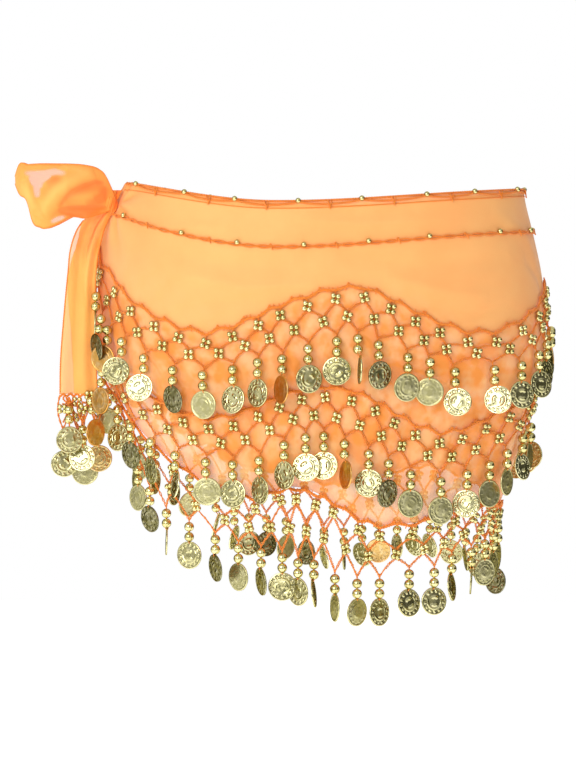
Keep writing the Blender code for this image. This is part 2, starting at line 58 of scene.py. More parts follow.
# %% Camera
CAMERA_DISTANCE = 1.72
CAMERA_HEIGHT = 0.006
FOCAL_PIXELS = 2054
FRAME_SIZE = (576, 768)
CENTRE_PIXEL = (327, 190)  # where the middle of the waist falls in the frame


def add_camera():
    """A camera in front of the scarf, aimed so that the waist's middle falls on CENTRE_PIXEL."""
    data = bpy.data.cameras.new("camera")
    camera = bpy.data.objects.new("camera", data)
    bpy.context.scene.collection.objects.link(camera)
    data.sensor_fit = "VERTICAL"
    data.sensor_height = 36  # millimetres
    data.lens = FOCAL_PIXELS / FRAME_SIZE[1] * data.sensor_height
    camera.location = (0, -CAMERA_DISTANCE, CAMERA_HEIGHT)
    right = (FRAME_SIZE[0] / 2 - CENTRE_PIXEL[0]) / FOCAL_PIXELS * CAMERA_DISTANCE
    down = (FRAME_SIZE[1] / 2 - CENTRE_PIXEL[1]) / FOCAL_PIXELS * CAMERA_DISTANCE
    aim = Vector((right, CAMERA_DISTANCE, -down))
    camera.rotation_euler = aim.to_track_quat("-Z", "Y").to_euler()
    bpy.context.scene.camera = camera
    return camera


add_camera()
print("camera ready")

# %% [markdown]
# ## The form of the hips
# The cloth takes the form of the body that wears it. Seen from above that form is a rounded oblong, a
# superellipse, whose half width and half depth change with height. A handful of sections says it all, and a
# little smoothing between them keeps the sections from showing as rings.

# %% Sections of the hips
COLUMNS = 44
COLUMN_STEP = 22.2 * MM
SPLIT_KNOT = -11.5  # the column of the slit under the knot
SQUARENESS = 2.25  # the superellipse's exponent: 2 would be an ellipse
HIP_SECTIONS = np.array(
    [
        # height, half width, half depth (mm)
        (-345, 138, 109), (-262, 143, 111), (-230, 154, 114), (-200, 164, 117), (-170, 173, 120),
        (-140, 180, 122), (-115, 182.5, 122.5), (-90, 182, 122), (-60, 178, 120), (-30, 171, 117),
        (0, 163, 113), (20, 162, 112),
    ]
) * MM
SMOOTHING = 7 * MM
BELL_REACH = 25  # how many neighbours on each side the bell curve takes in


def smooth_section(which):
    """One size of the sections against height, each value averaged with its neighbours by a bell curve."""
    heights = np.linspace(HIP_SECTIONS[0, 0], HIP_SECTIONS[-1, 0], 366)  # about 1 mm apart
    sizes = np.interp(heights, HIP_SECTIONS[:, 0], HIP_SECTIONS[:, which])
    reach = np.arange(-BELL_REACH, BELL_REACH + 1)
    weights = np.exp(-((reach * (heights[1] - heights[0]) / SMOOTHING) ** 2) / 2)
    padded = np.pad(sizes, BELL_REACH, mode="reflect", reflect_type="odd")
    return heights, np.convolve(padded, weights / weights.sum(), mode="valid")


FORM_HEIGHTS, FORM_WIDTHS = smooth_section(1)
_, FORM_DEPTHS = smooth_section(2)
print("widest: %.3f m across, %.3f m deep" % (2 * FORM_WIDTHS.max(), 2 * FORM_DEPTHS.max()))

# %% [markdown]
# A superellipse isn't walked in even steps by its angle, so a table of walked shares turns a column into
# the angle that lies just as far round the body.

# %% Outline of the hips
def outline(angle, half_width, half_depth):
    """A superellipse: x = a sign(sin) |sin|^(2/n) and y = -b sign(cos) |cos|^(2/n), with angle 0 in front."""
    power = 2 / SQUARENESS
    side, ahead = np.sin(angle), np.cos(angle)
    x = half_width * np.sign(side) * np.abs(side) ** power
    y = -half_depth * np.sign(ahead) * np.abs(ahead) ** power
    return x, y


def even_angles():
    """Angles, and the share of the widest outline's length that has been walked when each is reached."""
    angles = np.linspace(0, TURN, 4001)
    ring = np.stack(outline(angles, HIP_SECTIONS[:, 1].max(), HIP_SECTIONS[:, 2].max()), axis=1)
    walked = np.concatenate([[0], np.cumsum(np.hypot(*np.diff(ring, axis=0).T))])
    return angles, walked / walked[-1]


ANGLES, SHARES = even_angles()
print("form round the widest part: %.3f m" % (COLUMNS * COLUMN_STEP))

# %% [markdown]
# ## Wavy lines
# The top edge, the chain across the body and the three tiers each follow a wavy line. A wave is a short
# table of its high and low points, joined by half a cosine wave each, so it is smooth and as uneven as the
# real scarf's.

# %% Wavy lines
TOP_EDGE = [(-10, 11.4), (-2.2, -3), (9.5, 6), (22, -8.5)]  # column, height (mm)
SECOND_CHAIN = [(-11.5, -12), (-2, -38), (8, -28), (22, -36)]
TIER_LINES = [
    [
        (-12.5, -35), (-4.3, -109), (0.7, -66), (5.5, -108), (10.3, -68), (15.3, -108), (20.3, -68),
        (25, -108),
    ],
    [
        (-12.5, -92), (-4.0, -177), (0.0, -148), (4.5, -186), (9.8, -150), (14.5, -184), (19.5, -150),
        (24.5, -182),
    ],
    [
        (-12.5, -150), (-3.3, -237), (-1.65, -227), (2.9, -259), (7.5, -249), (12, -258), (17, -238),
        (21.5, -258), (25.5, -240),
    ],
]


def wave(rows, column):
    """Height at a column: h0 + (h1 - h0) (1 - cos(pi t)) / 2 from each row to the next, all round."""
    places = np.array([row[0] for row in rows] + [rows[0][0] + COLUMNS], float)
    heights = np.array([row[1] for row in rows] + [rows[0][1]], float) * MM
    column = places[0] + (np.asarray(column, float) - places[0]) % COLUMNS
    k = np.clip(np.searchsorted(places, column, side="right") - 1, 0, len(rows) - 1)
    share = (column - places[k]) / (places[k + 1] - places[k])
    return heights[k] + (heights[k + 1] - heights[k]) * (1 - np.cos(math.pi * share)) / 2


def round_distance(column, middle):
    """Columns from one place to another the short way round."""
    return (column - middle + COLUMNS / 2) % COLUMNS - COLUMNS / 2


print("tier lines at the front's middle (m):", [round(float(wave(line, 0)), 3) for line in TIER_LINES])

# %% [markdown]
# ## Creases
# Chiffon is light, so it shows soft creases where it is pulled. Each one here is a short bent line with a
# width
# and a depth: the surface moves by depth x exp(-(distance / width)^2), fading to nothing at the ends of the
# line. Some run across the smooth upper part, and deeper ones hang between the tiers, all round the body.

# %% Creases of the wrap
CREASES = [
    # points (column, height in mm), half width and depth in mm, depth outwards
    ([(-8.8, -18), (-6.5, -24), (-4.0, -22)], 5, 1.1),
    ([(-6.4, -43), (-4.0, -52), (-1.4, -50)], 7, -1.4),
    ([(-5.6, -60), (-3.2, -70), (-0.4, -66)], 5, 1.4),
    ([(-4.9, -84), (-3.2, -80), (-1.6, -86)], 4, -1.1),
    ([(-1.9, -14), (1.5, -20), (5.2, -15)], 5, 1.0),
    ([(0.4, -44), (3.6, -54), (7.3, -48)], 7, -1.4),
    ([(2.3, -62), (4.4, -73), (6.2, -78)], 6, 1.4),
    ([(4.0, -88), (5.6, -92), (7.2, -84)], 4, -1.0),
    ([(6.9, -10), (8.6, -30), (9.4, -56)], 7, 1.4),
    ([(8.2, -50), (9.3, -66), (9.5, -84)], 5, -1.3),
    ([(11.3, -12), (13.8, -26), (15.4, -52)], 6, 1.3),
    ([(12.6, -60), (14.4, -74), (16.3, -88)], 5, -1.3),
    ([(16.8, -16), (19.5, -30), (22.4, -24)], 6, -1.3),
    ([(17.9, -46), (20.5, -56), (23.1, -50)], 7, 1.4),
    ([(22.6, -52), (24.4, -70), (26.6, -88)], 6, -1.3),
    ([(24.1, -14), (26.8, -26), (29.8, -20)], 6, 1.3),
    ([(27.4, -40), (29.0, -58), (29.4, -82)], 6, -1.3),
    # between the tiers and down to the hem
    ([(-9.3, -96), (-8.6, -122), (-8.9, -150)], 5, 2.0),
    ([(-7.6, -112), (-6.7, -140), (-6.9, -176)], 6, -2.2),
    ([(-5.8, -120), (-4.6, -150), (-4.9, -188)], 5, 1.9),
    ([(-3.6, -128), (-2.9, -160), (-3.3, -214)], 6, -2.1),
    ([(-2.0, -100), (-1.2, -128), (-1.5, -158)], 5, 1.8),
    ([(-0.6, -112), (0.2, -146), (-0.4, -204)], 6, -2.0),
    ([(1.2, -96), (1.9, -130), (1.5, -180)], 5, 1.9),
    ([(2.6, -120), (3.6, -160), (3.1, -222)], 7, -2.2),
    ([(4.6, -128), (5.1, -170), (4.6, -236)], 5, 1.9),
    ([(6.2, -126), (6.9, -158), (6.6, -214)], 6, -2.0),
    ([(8.0, -104), (8.4, -150), (8.1, -230)], 5, 1.9),
    ([(9.6, -92), (10.0, -130), (9.7, -196)], 6, -1.9),
    ([(11.4, -100), (12.1, -150), (11.7, -226)], 6, 2.0),
    ([(13.6, -118), (14.0, -160), (13.5, -232)], 5, -1.9),
    ([(15.6, -122), (16.2, -160), (15.9, -214)], 6, 2.0),
    ([(17.6, -106), (18.1, -146), (17.8, -214)], 5, -2.0),
    ([(19.8, -92), (20.3, -138), (20.0, -226)], 6, 2.0),
    ([(21.8, -100), (22.4, -150), (22.0, -236)], 6, -2.1),
    ([(24.0, -118), (24.5, -158), (24.2, -212)], 5, 1.9),
    ([(26.1, -122), (26.6, -166), (26.3, -222)], 6, -2.0),
    ([(28.0, -104), (28.5, -140), (28.3, -190)], 5, 1.8),
    ([(29.8, -80), (30.3, -116), (30.2, -160)], 5, -1.7),
]
print("creases:", len(CREASES))

# %% [markdown]
# The knot draws the cloth together and out. So there is a pull, a bump that fades like a bell curve, a fan
# of gathers that spread from it, and under it a swell, where the slack cloth stands off the body. Down from
# the knot run two folds, which only change the colour: doubled cloth with painted shade.

# %% What the knot does to the cloth
KNOT_PLACE = (-9.9, -5)  # column, height (mm)
GATHERS = 9  # in a full turn round the knot
GATHER_REACH = 38 * MM
GATHER_DEPTH = 1.5 * MM
KNOT_REACH = 8 * MM  # within which the cloth is too tight for gathers
BODY_FOLD = 0.9 * MM
PULL = 18 * MM  # how far the knot draws the cloth out
PULL_PLACE = (-11.2, -20)  # column, height (mm)
PULL_SPREAD = (2.0, 29 * MM)  # columns, height
SWELL = 11.5 * MM  # how far the slack cloth under the knot stands out
SWELL_COLUMN = -11.0
SWELL_SPREAD = 0.95  # columns
SWELL_FADES = [(-0.19, 0), (-0.15, 0.7), (-0.11, 1), (-0.06, 1), (-0.02, 0.1)]  # height (m), share
KNOT_FOLDS = [
    # points (mm from column -11, height in mm), half width (mm), strength
    ([(-4, -10), (-5.5, -28), (-8, -44), (-6, -60)], 1.3, 0.9),
    ([(-2, -12), (0, -20), (3, -30)], 1.2, 0.5),
]
print("the knot draws the cloth out by %.0f mm" % (PULL / MM))

# %% [markdown]
# All these bumps need only two shapes: a bell curve, and the same curve laid along a bent line, so that a
# crease fades towards both of its ends.

# %% Bumps and bent lines
def bell(distance, spread):
    """1 at distance 0, fading like exp(-(distance / spread)^2)."""
    return np.exp(-((distance / spread) ** 2))


def smooth_step(share):
    """3 s^2 - 2 s^3: from 0 to 1 with level ends."""
    return share * share * (3 - 2 * share)


def near_line(x, z, points, width):
    """exp(-(d / w)^2) for the distance d to a bent line, times the root of a half sine along its length."""
    points = np.asarray(points, float)
    steps = np.diff(points, axis=0)
    lengths = np.hypot(*steps.T)
    starts = np.concatenate([[0], np.cumsum(lengths)])
    nearest = np.full(np.shape(x), np.inf)
    along = np.zeros(np.shape(x))
    for start, step, length, walked in zip(points, steps, lengths, starts):
        share = np.clip(((x - start[0]) * step[0] + (z - start[1]) * step[1]) / length**2, 0, 1)
        distance = (x - start[0] - share * step[0]) ** 2 + (z - start[1] - share * step[1]) ** 2
        along = np.where(distance < nearest, (walked + share * length) / starts[-1], along)
        nearest = np.minimum(nearest, distance)
    return np.exp(-nearest / width**2) * np.sqrt(np.clip(np.sin(math.pi * along), 0, 1))


def lines_total(lines, x, z):
    """The sum of near_line over a table of lines, each times its strength. Sizes in millimetres."""
    return sum(strength * near_line(x, z, points, width) for points, width, strength in lines)


print("a bell curve one spread away from its middle: %.2f" % bell(1, 1))

# %% Relief of the cloth
def crease_relief(column, height):
    """The sum of all creases at a place of the wrap, in metres outwards."""
    total = np.zeros(np.shape(column))
    for points, width, depth in CREASES:
        first, _ = points[0]
        x = round_distance(column, first) * COLUMN_STEP
        line = [((c - first) * COLUMN_STEP, h * MM) for c, h in points]
        total += depth * MM * near_line(x, height, line, width * MM)
    return total


def gathers(column, height):
    """Folds that fan out from the knot: cos(n a) of the direction a from the knot, fading with distance."""
    x = round_distance(column, KNOT_PLACE[0]) * COLUMN_STEP
    z = height - KNOT_PLACE[1] * MM
    reach = np.hypot(x, z)
    fade = bell(reach, GATHER_REACH) * (1 - bell(reach, KNOT_REACH))
    return GATHER_DEPTH * fade * np.cos(GATHERS * np.arctan2(z, x) + 0.7)


def relief(column, height):
    """How far the cloth stands out from the smooth form: body folds, the pull of the knot, gathers and
    creases. The body folds grow from nothing at 100 mm below the waist to their full depth at 220 mm."""
    growth = np.clip((-height - 0.10) / 0.12, 0, 1)
    turn = TURN * column / COLUMNS
    folds = BODY_FOLD * growth * (np.sin(9 * turn + 14 * height) + 0.8 * np.sin(14 * turn - 1.1))
    sideways = round_distance(column, PULL_PLACE[0]) / PULL_SPREAD[0]
    upright = (height - PULL_PLACE[1] * MM) / PULL_SPREAD[1]
    pull = PULL * np.exp(-(sideways**2) - upright**2)
    fade = np.interp(height, *np.array(SWELL_FADES).T)
    swell = SWELL * smooth_step(fade) * bell(round_distance(column, SWELL_COLUMN), SWELL_SPREAD)
    return folds + pull + swell + gathers(column, height) + crease_relief(column, height)


print("the slack cloth below the knot stands out by %.1f mm" % (relief(SWELL_COLUMN, -0.1) / MM))

# %% [markdown]
# Now one function can turn a column and a height into a point of the cloth. Everything that lies on the
# cloth is made from it.

# %% Points of the cloth
def hip(column, height, out=0.0):
    """Points of the cloth at columns and heights, moved out: the superellipse of that height, wider by the
    relief. Within 8 columns of the front's middle the columns lie a little nearer to it."""
    column, height, out = np.broadcast_arrays(*(np.asarray(v, float) for v in (column, height, out)))
    bent = round_distance(column, 0)
    bent = bent - np.where(np.abs(bent) < 8, 0.3 * np.sin(math.pi * bent / 8), 0)
    angle = np.interp((bent / COLUMNS) % 1.0, SHARES, ANGLES)
    moved = out + relief(column, height)
    half_width = np.interp(height, FORM_HEIGHTS, FORM_WIDTHS) + moved
    half_depth = np.interp(height, FORM_HEIGHTS, FORM_DEPTHS) + moved
    x, y = outline(angle, half_width, half_depth)
    return np.stack([x, y, height], axis=-1)


print("middle of the front, 100 mm down:", np.round(hip(0, -0.1), 3))

# %% [markdown]
# ## From arrays to meshes
# A surface is an array of points with two indexes, and the faces of such a grid can be counted out without
# looking at the points. Tubes, beads and coins are many copies of one small grid, laid end to end in one
# mesh.

# %% Grids and meshes
def grid_faces(count, rows, columns, closed):
    """Quads of several grids laid end to end. Point (g, i, j) has the number (g rows + i) columns + j."""
    steps = columns if closed else columns - 1
    g, i, j = np.meshgrid(np.arange(count), np.arange(rows - 1), np.arange(steps), indexing="ij")
    k = (j + 1) % columns
    here = (g * rows + i) * columns
    below = here + columns
    return np.stack([here + j, here + k, below + k, below + j], axis=-1).reshape(-1, 4)


def add_mesh(name, points, quads, uv, caps=(), attributes=None):
    """One mesh object from points (n, 3), quads (m, 4), caps (k, s), and UV and named numbers of points."""
    points = np.asarray(points, float).reshape(-1, 3)
    faces = [np.asarray(quads, np.int32).reshape(-1, 4)] + list(caps)
    corners = np.concatenate([f.ravel() for f in faces])
    sizes = np.concatenate([np.full(len(f), f.shape[1]) for f in faces])
    starts = np.concatenate([[0], np.cumsum(sizes)[:-1]])
    mesh = bpy.data.meshes.new(name)
    mesh.vertices.add(len(points))
    mesh.vertices.foreach_set("co", points.astype(np.float32).ravel())
    mesh.loops.add(len(corners))
    mesh.loops.foreach_set("vertex_index", corners.astype(np.int32))
    mesh.polygons.add(len(sizes))
    mesh.polygons.foreach_set("loop_start", starts.astype(np.int32))
    mesh.update(calc_edges=True)
    mesh.validate()
    mesh.polygons.foreach_set("use_smooth", np.ones(len(mesh.polygons), bool))
    uv = np.asarray(uv, float).reshape(-1, 2)
    mesh.uv_layers.new(name="UVMap").data.foreach_set("uv", uv[corners].astype(np.float32).ravel())
    for key, values in (attributes or {}).items():
        layer = mesh.attributes.new(key, "FLOAT", "POINT")
        layer.data.foreach_set("value", np.asarray(values, np.float32).ravel())
    mesh.update()
    piece = bpy.data.objects.new(name, mesh)
    bpy.context.scene.collection.objects.link(piece)
    return piece


def put(piece, slot, material, *nodes):
    """Hangs a finished piece on the body, dresses it and hides the CAD nodes it replaces. Its slot is not
    used.
    """
    piece.data.materials.clear()
    piece.data.materials.append(material)
    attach(piece, "root")
    if nodes:
        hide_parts(*nodes)
    print(piece.name, len(piece.data.polygons), "faces")
    return piece


# %% [markdown]
# A tube needs two directions across its path at every point. One faces out of the body, so that a cord lies
# on the cloth the same way up all along, and the other is square to it and to the path.

# %% Tubes
OBLONG = 0.182 / 0.122  # how much wider than deep the hips are


def unit(vectors):
    """Vectors over their lengths."""
    return vectors / np.maximum(np.linalg.norm(vectors, axis=-1, keepdims=True), 1e-12)


def outward(points):
    """The level direction away from the body's middle line, squeezed so that it suits the oblong form."""
    return unit(points * np.array([1.0, OBLONG**2, 0.0]))


def path_frames(paths, facing):
    """For paths (m, n, 3): at each point a direction out, one across, and the way walked so far."""
    tangents = unit(np.gradient(paths, axis=1))
    facing = outward(paths) if facing is None else np.broadcast_to(facing, paths.shape)
    across = unit(np.cross(tangents, facing))
    steps = np.linalg.norm(np.diff(paths, axis=1), axis=-1)
    walked = np.concatenate([np.zeros((len(paths), 1)), np.cumsum(steps, axis=1)], axis=1)
    return np.cross(across, tangents), across, walked[..., None]


def sweep(paths, radius, sides, facing):
    """Round tubes along paths: each ring is c + r (cos a  u + sin a  v), with u facing out and v across."""
    facing, across, walked = path_frames(paths, facing)
    angles = np.arange(sides) * TURN / sides
    ring = np.cos(angles)[:, None] * facing[:, :, None, :] + np.sin(angles)[:, None] * across[:, :, None, :]
    points = paths[:, :, None, :] + radius * ring
    uv = np.stack(np.broadcast_arrays(walked, np.arange(sides) / sides), axis=-1)
    return points, uv


def tube_faces(count, rows, sides):
    """Quads of the tubes' walls and a cap for each of their ends."""
    quads = grid_faces(count, rows, sides, closed=True)[:, ::-1]
    first = np.arange(count)[:, None] * rows * sides + np.arange(sides)[None, :]
    last = first + (rows - 1) * sides
    return quads, np.concatenate([first, last[:, ::-1]])


print("a tube of 9 rings with 4 sides has", sum(map(len, tube_faces(1, 9, 4))), "faces")

# %% [markdown]
# A cord is two thin tubes that wind round one path, which gives it real plies for hardly any faces. Each
# kind of cord has its own thickness and twist, as crochet has where more threads are drawn through a loop.

# %% Cords
def plies(paths, pitch, offset, facing):
    """Two threads round a path: c + o (0.8 cos(2 pi s / p + q) u + sin(2 pi s / p + q) v), q = 0 or pi."""
    facing, across, walked = path_frames(paths, facing)
    threads = []
    for half_turns in (0, 1):
        phase = TURN * (walked / pitch + half_turns / 2)
        threads.append(paths + offset * (np.cos(phase) * facing * 0.8 + np.sin(phase) * across))
    return np.concatenate(threads)


CORDS = {
    # thread radius, length of a full twist, how far a ply lies from the path (mm), and sides of a ply
    "edge": (0.5, 4.2, 0.5, 4),
    "edge loop": (0.45, 2.6, 0.35, 4),
    "chain": (0.44, 3.8, 0.4, 4),
    "chain loop": (0.4, 2.6, 0.32, 4),
    "heading": (0.66, 4.2, 0.78, 5),
    "heading wrap": (0.42, 2.9, 1.0, 4),
    "picot": (0.42, 2.4, 0.4, 5),
    "stem": (0.42, 2.6, 0.4, 4),
    "strand": (0.52, 3.9, 0.85, 4),
    "drop": (0.42, 2.6, 0.34, 4),
    "tail hem": (0.42, 2.6, 0.34, 4),
    "tail end": (0.6, 3.4, 0.5, 5),
    "tail strand": (0.46, 3.2, 0.5, 4),
    "tail arch": (0.5, 3.2, 0.56, 4),
}
print("kinds of cord:", len(CORDS))

# %% [markdown]
# A net has hundreds of strands. One mesh for all of them is quick to make and easy to dress, so a bundle
# collects small grids of points, numbers their faces on from the last, and becomes a piece at the end.

# %% Bundles
class Bundle:
    """Collects tubes, beads and other small grids for one mesh."""

    def __init__(self):
        self.points, self.uvs, self.quads, self.caps, self.tones = [], [], [], [], []
        self.count = 0

    def add(self, points, uv, quads, caps, tone=0.0):
        """Grids of points with their faces, numbered from the first of them."""
        points = np.asarray(points, float).reshape(-1, 3)
        self.points.append(points)
        self.uvs.append(np.reshape(uv, (-1, 2)))
        self.tones.append(np.broadcast_to(tone, len(points)))
        self.quads.append(quads + self.count)
        self.caps.append(caps + self.count)
        self.count += len(points)

    def add_tubes(self, paths, radius, sides=5, facing=None):
        """Tubes of one radius along paths (m, n, 3)."""
        points, uv = sweep(paths, radius, sides, facing)
        self.add(points, uv, *tube_faces(*paths.shape[:2], sides))

    def add_cords(self, paths, kind, facing=None):
        """Cords of a kind along paths (m, n, 3)."""
        radius, pitch, offset, sides = CORDS[kind]
        self.add_tubes(plies(paths, pitch * MM, offset * MM, facing), radius * MM, sides, facing)

    def build(self, name):
        """The mesh object of all that was added."""
        points, quads, uvs, tones = map(np.concatenate, (self.points, self.quads, self.uvs, self.tones))
        return add_mesh(name, points, quads, uvs, self.caps, {"tone": tones})


# %% [markdown]
# ## Shader helpers
# Materials are built from nodes in code. A small class keeps that readable: it holds a node tree, and each
# of its methods adds one node and gives back its output. An effect that several materials share becomes a
# node group with named sockets, built once.

# %% Node helpers
class Recipe:
    """A node tree, and short ways to add to it. A value is a number, a colour or a node's output."""

    def __init__(self, tree):
        self.tree = tree

    def fill(self, node, values):
        """Values for a node's inputs, by name or number: outputs are linked, and the rest is stored."""
        for key, value in dict(values).items():
            if isinstance(value, bpy.types.NodeSocket):
                self.tree.links.new(value, node.inputs[key])
            else:
                node.inputs[key].default_value = value

    def add(self, kind, values=(), **settings):
        """A node of a kind, with its properties and inputs set."""
        node = self.tree.nodes.new(kind)
        for key, value in settings.items():
            setattr(node, key, value)
        self.fill(node, values)
        return node

    def calc(self, operation, *values):
        """One Math node."""
        return self.add("ShaderNodeMath", enumerate(values), operation=operation).outputs[0]

    def plus(self, first, second):
        """first + second."""
        return self.calc("ADD", first, second)

    def minus(self, first, second):
        """first - second."""
        return self.calc("SUBTRACT", first, second)

    def times(self, first, second):
        """first x second."""
        return self.calc("MULTIPLY", first, second)

    def ridges(self, turns):
        """|sin(pi t)|: rounded ridges, one to each turn, with sharp grooves between them."""
        return self.calc("ABSOLUTE", self.calc("SINE", self.times(turns, math.pi)))

    def apart(self, first, second):
        """How far one value is from another."""
        return self.calc("ABSOLUTE", self.minus(first, second))

    def step(self, value, low, high):
        """0 below low, 1 above high, and smooth between."""
        node = self.add("ShaderNodeMapRange", {0: value, 1: low, 2: high}, interpolation_type="SMOOTHSTEP")
        return node.outputs[0]

    def mix(self, share, first, second, how="MIX"):
        """Two colours: all of the first at share 0, all of the second at 1."""
        values = {0: share, 6: first, 7: second}
        return self.add("ShaderNodeMix", values, data_type="RGBA", blend_type=how).outputs[2]

    def noise(self, where, scale, detail=2.0, roughness=0.5):
        """The grey value of a noise."""
        values = {"Vector": where, "Scale": scale, "Detail": detail, "Roughness": roughness}
        return self.add("ShaderNodeTexNoise", values).outputs[0]

    def split(self, vector):
        """The three numbers of a vector."""
        return self.add("ShaderNodeSeparateXYZ", {0: vector}).outputs

    def bump(self, height, strength, distance):
        """A normal bent by a height."""
        values = {"Strength": strength, "Distance": distance, "Height": height}
        return self.add("ShaderNodeBump", values).outputs[0]

    def place(self, group, **values):
        """A node group, with values for its inputs."""
        node = self.add("ShaderNodeGroup", node_tree=group)
        self.fill(node, values)
        return node.outputs

    def uv(self):
        """The piece's own UV, in metres on cloth and cords."""
        return self.add("ShaderNodeUVMap", uv_map="UVMap").outputs[0]

    def on_object(self):
        """Places on the piece in metres, the same for every part of it."""
        return self.add("ShaderNodeTexCoord").outputs["Object"]

    def stored(self, key):
        """A number stored on the piece's points."""
        return self.add("ShaderNodeAttribute", attribute_name=key).outputs["Fac"]


# %% New groups and materials
def new_group(name, inputs, outputs):
    """An empty node group with named sockets: its recipe, its inputs and the node for its results."""
    tree = bpy.data.node_groups.new(name, "ShaderNodeTree")
    for label, kind, value in inputs:
        socket = tree.interface.new_socket(label, in_out="INPUT", socket_type=kind)
        if value is not None:
            socket.default_value = value
    for label in outputs:
        tree.interface.new_socket(label, in_out="OUTPUT", socket_type="NodeSocketFloat")
    recipe = Recipe(tree)
    return recipe, recipe.add("NodeGroupInput").outputs, recipe.add("NodeGroupOutput")


def new_material(name):
    """A material, the recipe of its nodes, and its Principled shader."""
    material = bpy.data.materials.new(name)
    material.use_nodes = True
    return material, Recipe(material.node_tree), material.node_tree.nodes["Principled BSDF"]


# %% [markdown]
# ## Shared effects
# Chiffon is a plain weave of crimped threads: two sine waves at right angles give the threads, and where
# both are low lie the tiny gaps. Thread that has been crocheted is twisted and a little hairy: slanting
# stripes run along it, with fine noise. Both could be pictures, but formulas stay sharp however close the
# camera comes.

# %% Weave group
def make_weave():
    """Height (|sin x| + |sin y|) / 2, and Thread, the larger of the two, which is low in the gaps."""
    inputs = [("Vector", "NodeSocketVector", None), ("Pitch", "NodeSocketFloat", 0.0009)]
    recipe, given, result = new_group("chiffon_weave", inputs, ["Height", "Thread"])
    wobble = recipe.add("ShaderNodeTexNoise", {"Vector": given["Vector"], "Scale": 90}).outputs[0]
    along = recipe.split(given["Vector"])
    waves = []
    for axis in (0, 1):
        turns = recipe.calc("DIVIDE", along[axis], given["Pitch"])
        waves.append(recipe.ridges(recipe.plus(turns, recipe.times(wobble, 1.6))))
    height = recipe.times(recipe.plus(*waves), 0.5)
    recipe.fill(result, {"Height": height, "Thread": recipe.calc("MAXIMUM", *waves)})
    return recipe.tree


WEAVE = make_weave()
print(WEAVE.name, len(WEAVE.nodes), "nodes")

# %% Twist group
def make_twist():
    """Slanting plies |sin(pi (s / pitch + 2 t))|, s along a cord and t round it, and hairs from noise."""
    inputs = [("Vector", "NodeSocketVector", None), ("Pitch", "NodeSocketFloat", 0.0012)]
    recipe, given, result = new_group("thread_twist", inputs, ["Height", "Hair"])
    along, round_it, _ = recipe.split(given["Vector"])
    slant = recipe.plus(recipe.calc("DIVIDE", along, given["Pitch"]), recipe.times(round_it, 2.0))
    hair = recipe.noise(recipe.on_object(), 1400.0, 2.0, 0.7)
    recipe.fill(result, {"Height": recipe.ridges(slant), "Hair": hair})
    return recipe.tree


TWIST = make_twist()
print(TWIST.name, len(TWIST.nodes), "nodes")

# %% [markdown]
# ## The coin's face
# The real coins are thin stamped discs, with a raised rim, a ring of dots inside it, and worn marks in the
# middle. Here the rim and the boss are in the mesh, and the smaller relief is a height made from the
# distance to the middle and the angle round it: dots are a cosine round the circle inside a narrow band,
# and the marks are broken arcs.

# %% Coin relief group
def make_coin_relief():
    """Dots cos(13 a) in a band, arcs cut by a cosine of the angle, a slow bend and worn flecks, on a UV of
    -1 to 1."""
    inputs = [("Vector", "NodeSocketVector", None), ("Turn", "NodeSocketFloat", 0.0)]
    recipe, given, result = new_group("coin_relief", inputs, ["Height", "Raised", "Wear"])
    x, y, _ = recipe.split(given["Vector"])
    radius = recipe.calc("SQRT", recipe.plus(recipe.times(x, x), recipe.times(y, y)))
    angle = recipe.plus(recipe.calc("ARCTAN2", y, x), given["Turn"])

    def band(middle, half):
        """1 at a radius, and 0 at some distance from it."""
        return recipe.minus(1.0, recipe.step(recipe.apart(radius, middle), 0.0, half * 1.2))

    def spokes(times, low, high, shift=0.0):
        """The cosine of so many times the angle, cut to 0 below low and to 1 above high."""
        turned = recipe.plus(recipe.times(angle, times), shift)
        return recipe.step(recipe.calc("COSINE", turned), low, high)

    raised = recipe.times(band(0.74, 0.13), spokes(13.0, -0.5, 0.9))
    rim = recipe.step(radius, 0.88, 0.92)
    outer_arc = recipe.times(band(0.55, 0.10), spokes(1.0, -0.6, 0.2, 0.8))
    inner_arc = recipe.times(band(0.30, 0.13), spokes(2.0, -0.5, 0.7, 2.1))
    for part in (rim, outer_arc, inner_arc):
        raised = recipe.calc("MAXIMUM", raised, part)
    where = recipe.on_object()
    bent = recipe.times(recipe.noise(where, 75.0, 1.0, 0.4), 1.6)
    wear = recipe.step(recipe.noise(where, 260.0, 2.0, 0.5), 0.42, 0.66)
    height = recipe.plus(recipe.times(raised, 0.55), bent)
    recipe.fill(result, {"Raised": raised, "Height": height, "Wear": wear})
    return recipe.tree


COIN_RELIEF = make_coin_relief()
print(COIN_RELIEF.name, len(COIN_RELIEF.nodes), "nodes")

# %% [markdown]
# ## Chiffon
# Chiffon lets part of the light through, so its Alpha is below 1 and layers look deeper where they overlap.
# The wrap is smooth and peach at the top, and below the first tier it is mottled by noise, paler where a
# single layer lies flat and more orange where it doubles, and these orange patches are partly painted shade
# as well.
# Real alpha layers do more for the look than one flat colour could.

# %% Chiffon of the wrap
PEACH = (1.0, 0.50, 0.155, 1)
PEACH_DEEPER = (1.0, 0.445, 0.13, 1)
ORANGE = (1.0, 0.34, 0.045, 1)
PALE = (1.0, 0.54, 0.215, 1)
DEEP = (0.95, 0.22, 0.02, 1)
THREAD_PITCH = 0.9 * MM


def finish_chiffon(recipe, shader, weave, colour, alpha):
    """What both chiffons share: the weave as fine relief, rougher on its threads, and a soft sheen."""
    rough = recipe.plus(0.55, recipe.times(weave["Height"], 0.2))
    normal = recipe.bump(weave["Height"], strength=0.25, distance=0.2 * MM)
    recipe.fill(shader, {"Base Color": colour, "Alpha": alpha, "Roughness": rough, "Normal": normal})
    recipe.fill(shader, {"Sheen Weight": 0.25, "Sheen Roughness": 0.5})


